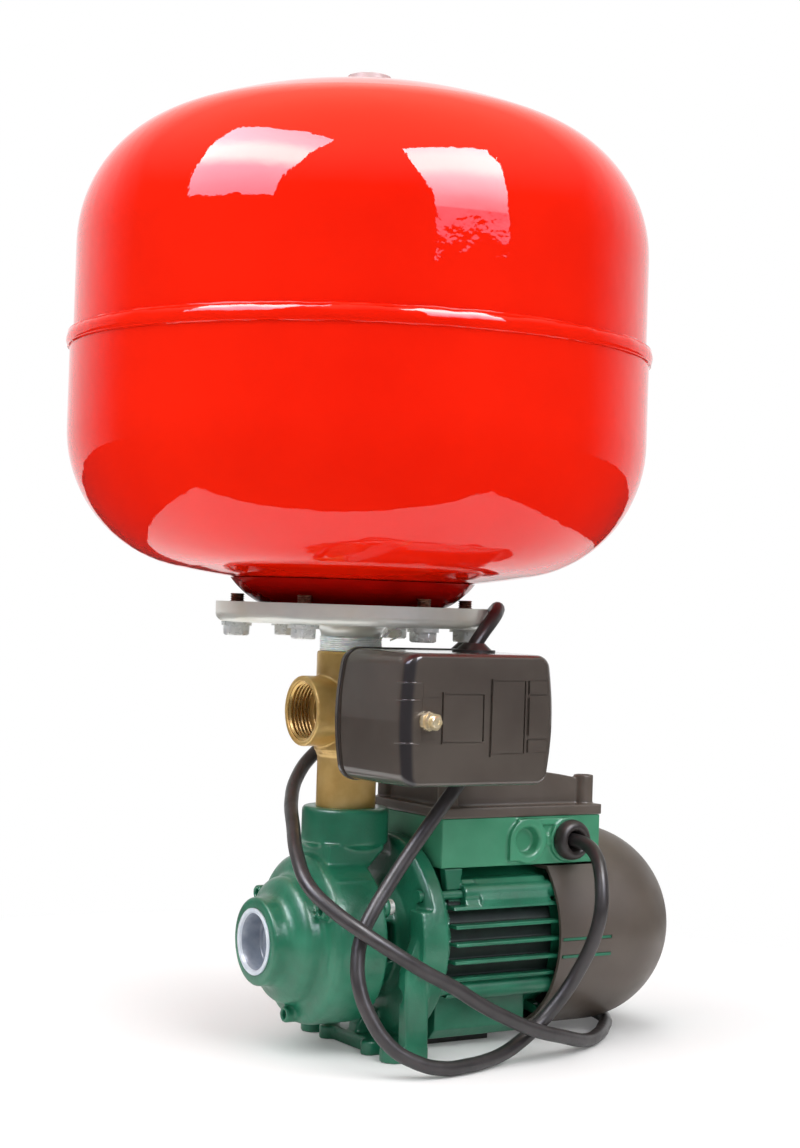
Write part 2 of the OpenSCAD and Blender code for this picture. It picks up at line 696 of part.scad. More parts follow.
module switch_diaphragm() color("#202020")
    rod_y(plate_y + 0.3, plate_y + 0.3 + diaphragm_t, discharge_x, port_z, pot_r - 4.3);

module switch_base() color("#a9adb1") {
    difference() {
        along_y(plate_y - plate_t, plate_y)
            round_rect([cover_x0, cover_z0], [cover_x1, cover_z1], cover_round, cover_wall + 0.5);
        rod_y(plate_y - 5, plate_y + 1, discharge_x, port_z, plunger_r + run_gap);
    }
    // Bearing cheeks for the lever
    for (z = [port_z - 16.5, port_z + 14])
        difference() {
            block([lever_pivot_x - 4, lever_y - 4, z], [lever_pivot_x + 4, plate_y - plate_t, z + 2.5]);
            translate([lever_pivot_x, lever_y, z - 1]) cylinder(r = 1.5 + run_gap, h = 5);
        }
    // Studs for the range spring, which also holds the cover, and for the differential spring
    rod_y(cover_front_y - 9, plate_y - plate_t + 1, stud_x, stud_z, stud_r);
    rod_y(cover_front_y + 12, plate_y - plate_t + 1, second_stud_x, stud_z, stud_r);
}

module switch_plunger() color("#d8d8d0") {
    rod_y(lever_y + lever_t / 2 + plunger_nose_r, plate_y + 0.2, discharge_x, port_z, plunger_r);
    translate([discharge_x, lever_y + lever_t / 2 + plunger_nose_r + 0.05, port_z])
        sphere(r = plunger_nose_r);
}

module contact_lever() color("#b5a24c") {
    difference() {
        block([lever_pivot_x - 2, lever_y - lever_t / 2, port_z - 12],
            [lever_end_x, lever_y + lever_t / 2, port_z + 12]);
        for (x = [stud_x, second_stud_x]) rod_y(lever_y - 5, lever_y + 5, x, stud_z, stud_r + 0.8);
    }
    translate([lever_pivot_x, lever_y, port_z - 16]) cylinder(r = 1.5, h = 32);
    // Contact bridge at the free end
    block([lever_end_x - 0.5, lever_y - lever_t / 2, port_z - bridge_w / 2],
        [lever_end_x + bridge_l, lever_y + lever_t / 2, port_z + bridge_w / 2]);
}

module contact_block() color("#1d1d1f") {
    x0 = lever_end_x + 1.5;
    x1 = cover_x1 - cover_wall - 4;
    difference() {
        block([x0, lever_y - 14, cover_z0 + 9], [x1, plate_y - plate_t - 0.05, cover_z1 - 9]);
        // Slot that the contact bridge moves in
        block([x0 - 1, lever_y - 6, port_z - bridge_w / 2 - 2],
            [x0 + bridge_l + 1, lever_y + 3, port_z + bridge_w / 2 + 2]);
        // Terminal chambers open to the front
        for (i = [0 : 3]) block([x0 + 3, lever_y - 15, cover_z0 + 12 + 13 * i],
            [x1 - 3, lever_y - 8, cover_z0 + 21 + 13 * i]);
    }
}

function helix(r, turns, pitch, steps) = [for (i = [0 : turns * steps])
    [r * cos(360 * i / steps), r * sin(360 * i / steps), pitch * i / steps]];
module coil_spring(x, l, gap) {
    turns = 6;
    translate([x, lever_y - lever_t / 2 - gap - spring_wire_r, stud_z]) rotate([90, 0, 0])
        tube(helix(spring_r, turns, (l - 2 * spring_wire_r) / turns, 10), spring_wire_r, 6);
}
module switch_springs() color("#8f9498") {
    coil_spring(stud_x, range_spring_l, range_gap);
    coil_spring(second_stud_x, diff_spring_l, diff_gap);
}

module spring_nut(x, l) translate([x, lever_y - lever_t / 2 - l - 0.1, stud_z])
    rotate([90, 0, 0]) difference() {
        union() {
            cylinder(r = spring_r + 1, h = 1.5);
            hexagon(10, 5);
        }
        translate([0, 0, -1]) cylinder(r = stud_r + fit_gap, h = 8);
    }
module spring_nuts() color("#c9ccd0") {
    spring_nut(stud_x, range_gap + range_spring_l);
    spring_nut(second_stud_x, diff_gap + diff_spring_l);
}

// Acorn nut that holds the cover
module cover_nut() color("#d8c9a0") translate([stud_x, cover_front_y - 0.1, stud_z]) rotate([90, 0, 0])
    difference() {
        union() {
            hexagon(10, 5.5);
            cylinder(r = 4.6, h = 7);
            translate([0, 0, 7]) sphere(r = 4.6, $fn = 48);
        }
        translate([0, 0, -1]) cylinder(r = stud_r + fit_gap, h = 10.2);
    }

// Rounded box that narrows a little to its front; grow is negative for the inside
module cover_shape(grow, y_back, y_front) {
    r = cover_round + grow;
    front_r = cover_edge + grow;
    hull() for (x = [cover_x0 + cover_round, cover_x1 - cover_round])
        for (z = [cover_z0 + cover_round, cover_z1 - cover_round]) {
            rod_y(y_back - 12, y_back, x, z, r, $fn = 32);
            inward = [x > discharge_x ? -1 : 1, 0, z > port_z ? -1 : 1];
            translate([x, y_front + front_r, z] + cover_taper * inward) sphere(r = front_r, $fn = 32);
        }
}
module switch_cover() color("#232325") difference() {
    union() {
        cover_shape(0, cover_back_y, cover_front_y);
        // Bare raised panels
        block([discharge_x - 7, cover_front_y - panel_t, port_z - 12],
            [discharge_x + 20, cover_front_y + 1, port_z + 14]);
        block([discharge_x + 25, cover_front_y - panel_t, port_z - 18],
            [discharge_x + 47, cover_front_y + 1, port_z + 21]);
        // Clips on the two flanks
        block([cover_x0 - 2.4, cover_back_y - 10, port_z - 9], [cover_x0 + 1, cover_back_y, port_z + 14]);
        block([cover_x1 - 4, cover_front_y + 5, port_z - 19],
            [cover_x1 + 4.2, cover_back_y - 6, port_z + 20]);
    }
    cover_shape(-cover_wall, cover_back_y + 0.1, cover_front_y + cover_wall);
    rod_y(cover_front_y - 5, cover_front_y + 5, stud_x, stud_z, stud_r + 0.3);
    rod_z(cover_z1 - 6, cover_z1 + 5, gland_top_x, gland_y, gland_stem_r + 0.2);
    rod_z(cover_z0 - 5, cover_z0 + 6, gland_bottom_x, gland_y, gland_stem_r + 0.2);
}

module gland(up) difference() {
    union() {
        cylinder(r = gland_flange_r, h = gland_flange_t);
        translate([0, 0, gland_flange_t])
            cylinder(r1 = gland_flange_r - 2, r2 = cord_r + 2, h = up - gland_flange_t);
        translate([0, 0, -6]) cylinder(r = gland_stem_r, h = 7);
    }
    translate([0, 0, -7]) cylinder(r = cord_r + loose_gap, h = 20);
}
module switch_glands() color("#2b1c1c") {
    translate([gland_top_x, gland_y, cover_z1 + 0.05]) gland(gland_up);
    translate([gland_bottom_x, gland_y, cover_z0 - 0.05]) rotate([180, 0, 0]) gland(gland_down);
}

// Pump casing: revolved body, discharge neck and boss, bored for its ports
module pump_casing() color("#2f7a55") difference() {
    union() {
        on_shaft() rotate_extrude($fn = 96) polygon([[0, suction_x], [suction_r - 1, suction_x],
            [suction_r, suction_x + 1], [suction_r + 0.2, hat_x0 - 8.5], [suction_r + 1.1, hat_x0 - 6],
            [suction_r + 3.4, hat_x0 - 4.4], [hat_r - 5, hat_x0 - 3.2], [hat_r - 2.2, hat_x0 - 1.6],
            [hat_r - 0.6, hat_x0 + 0.8], [hat_r, hat_x0 + 6.5], [hat_r + 1.7, hat_x0 + 8.6],
            [body_r - 6.5, hat_x0 + 9.6], [body_r - 3, body_x0 + 0.8], [body_r - 0.8, body_x0 + 3],
            [body_r, body_x0 + 7], [body_r, body_x1], [0, body_x1]]);
        on_discharge(discharge_boss_z)
            cylinder(r = discharge_boss_r, h = discharge_z - discharge_boss_z - 1.4);
        on_discharge(discharge_z - 1.4)
            cylinder(r1 = discharge_boss_r, r2 = discharge_boss_r - 1.4, h = 1.4);
        on_discharge(discharge_boss_z - 4)
            cylinder(r1 = discharge_boss_r - 5, r2 = discharge_boss_r, h = 4.01);
        // Neck, cut away underneath where it overhangs the back of the body
        along_y(-neck_w / 2, neck_w / 2) polygon([[neck_x0, axis_z + 20], [body_x1, axis_z + 20],
            [body_x1, axis_z + 39], [neck_x1, discharge_boss_z - 3], [neck_x1, discharge_boss_z],
            [neck_x0, discharge_boss_z]]);
        // Shoulders where the neck runs into the body
        along_y(-33, 33) polygon([[body_x0 + 6, axis_z + 10], [body_x1 - 5, axis_z + 10],
            [body_x1 - 5, axis_z + 36.5], [body_x0 + 8, axis_z + 36.5], [body_x0 + 6, axis_z + 33]]);
        translate([screw_boss_x, 0, 0]) at_casing_screws()
            cylinder(r = screw_boss_r, h = body_x1 - screw_boss_x - 1);
    }
    // Suction port, inlet chamber and the passage down to the channel
    rod_x(suction_x - 1, suction_x + port_thread_depth + 1, 0, axis_z, port_r);
    rod_x(suction_x, inlet_x1, 0, axis_z, duct_r);
    block([inlet_x0, -8, axis_z - channel_r1 + 1], [inlet_x1, 8, axis_z]);
    rod_x(inlet_x0 + 1, channel_x0 + 2, 0, axis_z - channel_r1 + 8, 5.5);
    // Impeller chamber with its channel, and the seat of the seal plate
    on_shaft(channel_x0) ring(channel_r0, channel_r1, body_x1 - channel_x0 + 1);
    rod_x(impeller_x - 0.3, body_x1 + 1, 0, axis_z, impeller_d / 2 + 0.35);
    rod_x(seal_plate_x, body_x1 + 1, 0, axis_z, seal_plate_r + fit_gap);
    // Discharge passage and port
    rod_z(axis_z + channel_r1 - 4, discharge_z - port_thread_depth, channel_x0 + 9, 0, 7.5);
    on_discharge(discharge_z - port_thread_depth - 1) cylinder(r = port_r, h = port_thread_depth + 2);
    translate([screw_boss_x - 1, 0, 0]) at_casing_screws() cylinder(r = casing_screw_r + fit_gap, h = 60);
    // Seat of the sealing ring
    on_shaft(seal_plate_x - 1.5) ring(oring_r - 0.8, oring_r + 0.8, 2);
}

module suction_plug() color("#e9eef2") difference() {
    union() {
        rod_x(suction_x - plug_flange_t, suction_x, 0, axis_z, plug_flange_r);
        rod_x(suction_x - 0.5, suction_x + 13, 0, axis_z, plug_tube_r);
    }
    rod_x(suction_x - 5, suction_x + 11.5, 0, axis_z, plug_tube_r - 2);
    rod_x(suction_x - 5, suction_x - 0.2, 0, axis_z, plug_tube_r - 0.8);
}

module casing_screws() color("#9aa0a4") {
    translate([body_x0 + 6, 0, 0]) at_casing_screws()
        cylinder(r = casing_screw_r, h = body_x1 + 5.5 - body_x0 - 6);
    translate([body_x1 + 5.05, 0, 0]) at_casing_screws() cylinder(r = 4.4, h = 3);
}

module impeller() color("#b8913f") on_shaft(impeller_x) difference() {
    cylinder(r = impeller_d / 2, h = impeller_t);
    translate([0, 0, -1]) cylinder(r = shaft_nose_r + fit_gap, h = impeller_t + 2);
    for (i = [0 : vane_count - 1]) rotate([0, 0, 360 * i / vane_count]) for (z = [-1, impeller_t - 3])
        translate([impeller_d / 2 - 6, -1.9, z]) cube([8, 3.8, 4]);
}

module seal_plate() color("#8d9296") on_shaft() difference() {
    union() {
        translate([0, 0, seal_plate_x + 0.05]) cylinder(r = seal_plate_r, h = seal_plate_t - 0.1);
        translate([0, 0, impeller_x + impeller_t + 0.3])
            cylinder(r = channel_r0 - 0.5, h = seal_plate_x - impeller_x - impeller_t);
    }
    translate([0, 0, impeller_x]) cylinder(r = shaft_nose_r + 0.6, h = 40);
    translate([0, 0, seal_plate_x - 1]) cylinder(r = 13 + fit_gap, h = 20);
}

module seal_seat() color("#dcdcd2") on_shaft(seal_plate_x - 0.9) ring(shaft_nose_r + 0.5, 13, 5.4);

module seal_head() color("#303030") on_shaft(seal_plate_x + 4.6) difference() {
    union() {
        cylinder(r = 10, h = 4);
        cylinder(r = 8.5, h = 10);
    }
    translate([0, 0, -1]) cylinder(r = shaft_nose_r + fit_gap, h = 14);
}

module casing_oring() color("#151515") on_shaft(seal_plate_x - oring_section_r) rotate_extrude()
    translate([oring_r, 0]) circle(r = oring_section_r, $fn = 24);

// Bracket between pump and motor, with the front bearing seat, legs and base
module base_outline() {
    difference() {
        union() {
            translate([-3, -slot_y + slot_r]) square([foot_x1 + 3, 2 * (slot_y - slot_r)]);
            translate([0, -base_y]) square([foot_x1, base_w]);
            for (s = [-1, 1]) {
                inner = slot_y - slot_r - 5;
                outer_r = (base_y - slot_y - slot_r) / 2;
                translate([lobe_tip_x + 5, s * inner]) circle(r = 5);
                translate([lobe_tip_x + 5, s * inner - 5]) square([8, 10]);
                translate([lobe_tip_x + outer_r, s * (base_y - outer_r)]) circle(r = outer_r);
                translate([lobe_tip_x + outer_r, s * (base_y - outer_r) - outer_r]) square([8, 2 * outer_r]);
            }
        }
        for (s = [-1, 1]) {
            translate([0, s * slot_y]) circle(r = slot_r);
            translate([lobe_tip_x - 5, s * slot_y - slot_r]) square([-lobe_tip_x + 5, 2 * slot_r]);
        }
    }
}
module motor_bracket() color("#2f7a55") difference() {
    union() {
        on_shaft() rotate_extrude($fn = 96) polygon([[20, body_x1 + 0.05], [33, body_x1 + 0.05],
            [33, body_x1 + 5], [lantern_r, body_x1 + 7], [lantern_r, web_x - 6], [lantern_r + 6, web_x - 2],
            [bracket_r - 4, web_x], [bracket_r, web_x + 2], [bracket_r, bracket_x1],
            [bore_r - fit_gap, bracket_x1], [bore_r - fit_gap, bracket_x1 + 5], [bore_r - 4, bracket_x1 + 5],
            [bore_r - 4, bracket_x1 - 5], [bearing_r + 4.5, bracket_x1 - 5],
            [bearing_r + 4.5, bracket_x1 - 1],
            [bearing_r, bracket_x1 - 1], [bearing_r, front_bearing_x], [11, front_bearing_x],
            [11, front_bearing_x - 3], [lantern_r - 6, front_bearing_x - 3], [lantern_r - 6, body_x1 + 4],
            [20, body_x1 + 4]]);
        translate([body_x1 + 0.05, 0, 0]) at_casing_screws() cylinder(r = 6, h = 5);
        // Arms that carry the three screw lugs
        for (a = casing_screw_angles) translate([body_x1 + 0.05, 0, axis_z]) rotate([a, 0, 0])
            translate([0, 28, -5]) cube([4.95, casing_screw_circle - 30, 10]);
        for (s = [-1, 1]) {
            // Leg with a broad upper end that follows the rim
            along_y(s * leg_mid_y - 4, s * leg_mid_y + 4) polygon([[3, 0], [foot_x1, 0],
                [foot_x1 - 1, axis_z - 26], [bracket_x1, axis_z - 15], [bracket_x1, axis_z + 18],
                [web_x - 6, axis_z + 18], [web_x - 6, axis_z + 6], [1.5, axis_z - 14]]);
            along_x(web_x - 6, bracket_x1) intersection() {
                translate([0, axis_z]) circle(r = bracket_r, $fn = 96);
                translate([s * 52 - 10, axis_z - 16]) square([20, 36]);
            }
        }
        along_y(-5, 5) polygon([[-3, 0], [foot_x1, 0], [foot_x1, 20], [6, 20], [0, axis_z - 50]]);
        linear_extrude(base_t) base_outline();
    }
    // Room for the discharge boss
    on_discharge(discharge_boss_z - 8) cylinder(r = discharge_boss_r + 2, h = 60);
    rod_x(front_bearing_x - 30, front_bearing_x + 1, 0, axis_z, 11);
    at_tie_bolts() cylinder(r = tie_r + 0.2, h = 60);
    at_tie_bolts() cylinder(r = tie_head_r + 0.6, h = web_x);
    translate([body_x1 - 1, 0, 0]) at_casing_screws() cylinder(r = casing_screw_r + 0.2, h = 12);
    translate([body_x1 + 5, 0, 0]) at_casing_screws() cylinder(r = 5, h = 5);
    // Side windows of the lantern
    for (s = [-1, 1]) block([body_x1 + 6, s * lantern_r - 9, axis_z - 11],
        [web_x - 7, s * lantern_r + 9, axis_z + 11]);
}

// Finned motor frame, drawn as one section along the shaft
module fins_section() for (s = [-1, 1]) for (k = [-3 : 2]) intersection() {
    translate([s > 0 ? 0 : -fin_tip_r, axis_z + k * fin_pitch - fin_t / 2]) square([fin_tip_r, fin_t]);
    translate([0, axis_z]) circle(r = fin_tip_r, $fn = 120);
}
module motor_housing() color("#2f7a55") difference() {
    union() {
        along_x(frame_x0 + 0.05, frame_x1) translate([0, axis_z]) circle(r = frame_r, $fn = 120);
        along_x(fin_x0, frame_x1) fins_section();
        along_x(fin_x0, fin_x0 + keel_l) polygon([[-keel_w / 2, keel_z + 6], [-keel_w / 2 + 6, keel_z],
            [keel_w / 2 - 6, keel_z], [keel_w / 2, keel_z + 6], [keel_w / 2, axis_z - 30],
            [-keel_w / 2, axis_z - 30]]);
        translate([tie_boss_x, 0, 0]) at_tie_bolts() cylinder(r = tie_boss_r, h = frame_x1 - tie_boss_x);
        // Smooth shoulder between the top fin and the terminal box
        for (s = [-1, 1]) along_x(tie_boss_x, fan_cover_x0 - 1) polygon([[s * 36, axis_z + 20],
            [s * (shoulder_y + 5), axis_z + 21], [s * shoulder_y, axis_z + 30],
            [s * (shoulder_y - 4), axis_z + 35], [s * 30, axis_z + 35]]);
        // Arms under the front corners of the terminal box
        for (s = [-1, 1]) along_y(s * 40 - 3, s * 40 + 3) polygon([[frame_x0 + 8, axis_z + 22],
            [frame_x0 + 15, axis_z + 22], [frame_x0 + 17, box_z0 - 0.1], [frame_x0 + 5, box_z0 - 0.1]]);
    }
    rod_x(frame_x0 - 1, frame_x1 + 1, 0, axis_z, bore_r);
    at_tie_bolts() cylinder(r = tie_r + 0.2, h = frame_x1 + 10);
}

module stator_core() color("#6d7276") on_shaft(stack_x0) difference() {
    cylinder(r = bore_r - fit_gap, h = stack_l);
    translate([0, 0, -1]) cylinder(r = stator_bore_r, h = stack_l + 2);
    for (i = [0 : slot_count - 1]) rotate([0, 0, 360 * i / slot_count])
        translate([stator_bore_r + 1.5, -1.8, -1]) cube([9, 3.6, stack_l + 2]);
}

module stator_windings() color("#b06a35") on_shaft(stack_x0) {
    for (i = [0 : slot_count - 1]) rotate([0, 0, 360 * i / slot_count])
        translate([stator_bore_r + 1.7, -1.6, -1]) cube([8.6, 3.2, stack_l + 2]);
    translate([0, 0, -8]) ring(stator_bore_r + 1.5, stator_bore_r + 11, 7.5);
    translate([0, 0, stack_l + 0.5]) ring(stator_bore_r + 1.5, stator_bore_r + 11, 7.5);
}

module rotor_core() color("#8a8f93") on_shaft(stack_x0) {
    ring(shaft_r + fit_gap, rotor_r, stack_l);
    for (z = [-4, stack_l - 0.5]) translate([0, 0, z]) ring(rotor_r - 8, rotor_r - 1, 4.5);
}

module motor_shaft() color("#c3c7ca") on_shaft() {
    translate([0, 0, impeller_x]) cylinder(r = shaft_nose_r, h = front_bearing_x - impeller_x);
    translate([0, 0, front_bearing_x - 1]) cylinder(r = shaft_r, h = fan_x - front_bearing_x + 1);
    translate([0, 0, fan_x - 0.5]) cylinder(r = shaft_nose_r, h = fan_w + 1);
}

module at_bearings() for (x = [front_bearing_x, rear_bearing_x]) on_shaft(x) children();
module bearing_outer_rings() color("#b7bbbf") at_bearings() difference() {
    translate([0, 0, 0.05]) cylinder(r = bearing_r - fit_gap, h = bearing_w);
    translate([0, 0, -1]) cylinder(r = shaft_r + 3 + run_gap, h = bearing_w + 3);
}
module bearing_inner_rings() color("#d0d3d6") at_bearings() translate([0, 0, 0.05])
    ring(shaft_r + fit_gap / 2, shaft_r + 3, bearing_w);

module end_shield() color("#2f7a55") difference() {
    union() {
        rod_x(frame_x1 + 0.05, shield_x1, 0, axis_z, frame_r);
        rod_x(frame_x1 - 6, frame_x1 + 1, 0, axis_z, bore_r - fit_gap);
        rod_x(rear_bearing_x - 2, shield_x1, 0, axis_z, bearing_r + 4);
        translate([frame_x1 + 0.05, 0, 0]) at_tie_bolts() cylinder(r = tie_boss_r, h = shield_t - 0.05);
        // Guides that reach into the slots of the fan cover
        for (s = [-1, 1]) for (k = [-1, 0]) {
            z = axis_z + k * fin_pitch - guide_t / 2;
            block([frame_x1 + 0.05, min(s * 40, s * (cover_r - 0.2)), z],
                [shield_x1, max(s * 40, s * (cover_r - 0.2)), z + guide_t]);
            block([frame_x1 + 0.05, min(s * (fan_r + 12), s * (cover_r - 0.2)), z],
                [guide_x1 - 0.5, max(s * (fan_r + 12), s * (cover_r - 0.2)), z + guide_t]);
        }
        // Ears for the cover screws
        for (s = [-1, 1]) along_x(frame_x1 + 0.05, shield_x1) polygon([[s * 20, axis_z - 40],
            [s * 36, axis_z - 43.8], [s * 31, axis_z - 47.3], [s * 18, axis_z - 46]]);
    }
    on_shaft(frame_x1 - 7) ring(bearing_r + 4, bore_r - 4, 7.5);
    rod_x(rear_bearing_x, rear_bearing_x + bearing_w + 0.2, 0, axis_z, bearing_r);
    rod_x(rear_bearing_x - 3, shield_x1 + 1, 0, axis_z, shaft_r + 3.5);
    at_tie_bolts() cylinder(r = tie_r + fit_gap, h = shield_x1 + 5);
    at_cover_screws() cylinder(r = 1.5, h = 12);
}

// Two screws through the lower sides of the fan cover into the end shield
cover_screw_angle = 56;
module at_cover_screws() for (s = [-1, 1]) translate([frame_x1 + shield_t / 2, 0, axis_z])
    rotate([180 - s * (90 - cover_screw_angle), 0, 0]) translate([0, 0, cover_r - 10]) children();

module cooling_fan() color("#3b3b3d") on_shaft(fan_x) difference() {
    union() {
        cylinder(r = shaft_nose_r + 5, h = fan_w);
        cylinder(r = fan_r - 4, h = 2);
        for (i = [0 : 8]) rotate([0, 0, 40 * i]) translate([shaft_nose_r + 3, -0.9, 0])
            cube([fan_r - shaft_nose_r - 3, 1.8, fan_w - 1]);
    }
    translate([0, 0, -1]) cylinder(r = shaft_nose_r + fit_gap, h = fan_w + 2);
}

module fan_cover_solid(r, x0, notch_a, notch_b) difference() {
    union() {
        rod_x(x0, dome_x, 0, axis_z, r);
        intersection() {
            translate([dome_x, 0, axis_z]) sphere(r = r, $fn = 120);
            block([dome_x - 0.1, -80, axis_z - 80], [dome_x + 80, 80, axis_z + 80]);
        }
    }
    block([x0 - 5, -80, notch_b], [notch_a, 80, notch_b + 80]);
}
module fan_cover() color("#39393b") difference() {
    fan_cover_solid(cover_r, fan_cover_x0, notch_x, notch_z);
    fan_cover_solid(cover_r - fan_cover_wall, fan_cover_x0 - 1, notch_x + fan_cover_wall,
        notch_z - fan_cover_wall);
    rod_x(fan_cover_x0 - 1, shield_x1 + loose_gap, 0, axis_z, frame_r + loose_gap);
    // Guide slots in both flanks
    for (s = [-1, 1]) for (k = [-1, 0]) {
        z = axis_z + k * fin_pitch;
        block([frame_x1 - 0.5, s * cover_r - 12, z - slot_open / 2],
            [guide_x1, s * cover_r + 12, z + slot_open / 2]);
    }
    // Air inlet at the rear
    for (k = [-3 : 3]) block([dome_x + 32, -sqrt(pow(30, 2) - pow(8 * k, 2)), axis_z + 8 * k - 2],
        [dome_x + 70, sqrt(pow(30, 2) - pow(8 * k, 2)), axis_z + 8 * k + 2]);
    at_cover_screws() cylinder(r = 1.8, h = 20);
}
module fan_cover_screws() color("#9aa0a4") at_cover_screws() {
    translate([0, 0, 2]) cylinder(r = 1.45, h = 8.1);
    translate([0, 0, 10.05]) cylinder(r = 3, h = 1.4);
}

module tie_bolts() color("#9fb0a4") {
    at_tie_bolts() translate([0, 0, web_x + 1]) cylinder(r = tie_r, h = shield_x1 - web_x - 2);
    translate([web_x - 2.5, 0, 0]) at_tie_bolts() cylinder(r = tie_head_r, h = 2.45);
    translate([web_x - 1, 0, 0]) at_tie_bolts() cylinder(r = tie_r, h = 3);
}

module rear_pad() color("#1b1b1b") block([fin_x0 + 8, -15, 0], [fin_x0 + 50, 15, keel_z - 0.05]);

// Terminal box: an open tray that sits astride the frame
module terminal_box() color("#3c8c63") difference() {
    union() {
        block([box_x0, box_y0, box_z0], [box_x1, box_y1, box_z1]);
        for (x = [blank_gland_x, grommet_x])
            rod_y(box_y0 - entry_boss_l, box_y0 + 1, x, gland_z, entry_boss_r);
        block([blank_gland_x, box_y0 - 1.2, gland_z - 3], [grommet_x, box_y0 + 1, gland_z + 3]);
    }
    difference() {
        block([box_x0 + box_wall, box_y0 + box_wall, box_z0 + box_wall],
            [box_x1 - box_wall, box_y1 - box_wall, box_z1 + 1]);
        rod_x(box_x0, box_x1, 0, axis_z, saddle_r + box_wall);
        at_lid_towers() translate([0, 0, box_z0]) cylinder(r = tower_r, h = box_h);
    }
    rod_x(box_x0 - 1, box_x1 + 1, 0, axis_z, saddle_r);
    rod_y(box_y0 - entry_boss_l - 1, box_y0 - 1, blank_gland_x, gland_z, entry_hole_r);
    rod_y(box_y0 - entry_boss_l - 1, box_y0 + box_wall + 3, grommet_x, gland_z, entry_hole_r);
    at_lid_towers() translate([0, 0, box_z1 - lid_screw_grip - 2])
        cylinder(r = lid_screw_r + 0.05, h = lid_screw_grip + 3);
}

module hood_section(dz, inset) intersection() {
    translate([hood_x0 + inset, box_z1 - 1]) square([hood_x1 - hood_x0 - 2 * inset, 60]);
    translate([(hood_x0 + hood_x1) / 2, hood_top - dz - 214]) circle(r = 214, $fn = 360);
}
module terminal_box_lid() color("#38383a") difference() {
    union() {
        block([box_x0 - 0.8, box_y0 - 0.8, box_z1 + 0.05], [box_x1 + 0.8, box_y1 + 0.8, lid_z]);
        along_y(hood_y0, hood_y1) hood_section(0, 0);
        at_lid_towers() translate([0, 0, box_z1 + 1]) cylinder(r = tower_r, h = tower_h + lid_flange_t - 1);
    }
    difference() {
        union() {
            along_y(hood_y0 + lid_wall, hood_y1 - lid_wall) translate([0, -1])
                hood_section(lid_wall - 1, lid_wall);
            block([box_x0 + 4, box_y0 + 4, box_z1 - 1], [box_x1 - 4, box_y1 - 4, lid_z - lid_wall]);
        }
        at_lid_towers() cylinder(r = tower_r, h = hood_top);
    }
    block([box_x0 - 2, box_y0 - 2, box_z1 - 5], [box_x1 + 2, box_y1 + 2, box_z1 + 0.05]);
    at_lid_towers() translate([0, 0, box_z1 - 1]) cylinder(r = lid_screw_r + 0.35, h = hood_top - box_z1);
    at_lid_towers() translate([0, 0, lid_z + lid_seat_h]) cylinder(r = lid_head_r + 0.3, h = tower_h);
}

module lid_screws() color("#b5b9bc") at_lid_towers() {
    translate([0, 0, box_z1 - lid_screw_grip])
        cylinder(r = lid_screw_r, h = lid_z + lid_seat_h + 0.5 - box_z1 + lid_screw_grip);
    translate([0, 0, lid_z + lid_seat_h + 0.05]) cylinder(r = lid_head_r, h = 2.4);
}

module run_capacitor() color("#d9dadb") {
    z = axis_z + saddle_r + box_wall + cap_body_r + 0.2;
    rod_x(cap_x0, cap_x0 + cap_l, 0, z, cap_body_r);
    // Two tabs for the leads
    for (y = [-4, 4]) rod_x(cap_x0 - 7, cap_x0 + 1, y, z, 1);
}

module terminal_block() color("#d8d4c4") {
    z = axis_z + saddle_r + box_wall + 0.1;
    difference() {
        block([block_x0, -block_half_l, z], [block_x0 + block_w, block_half_l, z + block_h]);
        for (k = [-2 : 2])
            rod_z(z + block_h / 2, z + block_h + 2, block_x0 + block_w / 2, block_pitch * k, 2.2);
    }
}

module box_grommet() color("#262220") translate([grommet_x, box_y0 - entry_boss_l, gland_z])
    rotate([90, 0, 0]) difference() {
        union() {
            translate([0, 0, 0.05]) cylinder(r = entry_boss_r - 0.8, h = 2.5);
            translate([0, 0, 2.5]) cylinder(r1 = entry_boss_r - 0.8, r2 = entry_boss_r - 4, h = 4);
            translate([0, 0, 6.5])
                cylinder(r1 = entry_boss_r - 4, r2 = cord_r + 2.2, h = grommet_nose - 6.5);
            translate([0, 0, -6]) cylinder(r = entry_hole_r - fit_gap, h = 7);
        }
        translate([0, 0, -7]) cylinder(r = cord_r + loose_gap, h = 30);
    }

module motor_cord() color("#3a3838") tube(smooth(motor_route, 3), cord_r, 10);

module mains_cord() color("#3a3838") {
    tube(smooth(mains_route, 2), cord_r, 10);
    tube(tail_route, cord_r, 10);
}

module mains_coil() color("#3a3838") translate(coil_centre + [0, 0, coil_band_r])
    rotate_extrude($fn = 96) translate([coil_mid_r, 0]) circle(r = coil_band_r, $fn = 32);

// Moulded two-pin plug with earth clips left out, lying on its side behind the motor
module at_plug() translate(plug_at) rotate([0, 0, plug_turn]) rotate([0, 90, 0]) children();
module mains_plug() color("#2c2b2b") at_plug() {
    difference() {
        union() {
            cylinder(r = plug_body_r, h = plug_body_l);
            translate([0, 0, -10]) cylinder(r1 = 8, r2 = plug_body_r - 3, h = 10.01);
        }
        for (y = [-9.5, 9.5]) translate([0, y, plug_body_l - 12]) cylinder(r = 2.4, h = 20);
    }
    translate([0, 0, -plug_relief_l]) difference() {
        cylinder(r1 = cord_r + 1, r2 = 6.5, h = plug_relief_l - 8);
        translate([0, 0, -1]) cylinder(r = cord_r + fit_gap, h = 14);
    }
}
module plug_pins() color("#c9cbcd") at_plug() for (y = [-9.5, 9.5])
    translate([0, y, plug_body_l - 11.5]) cylinder(r = 2.35, h = 30.5);

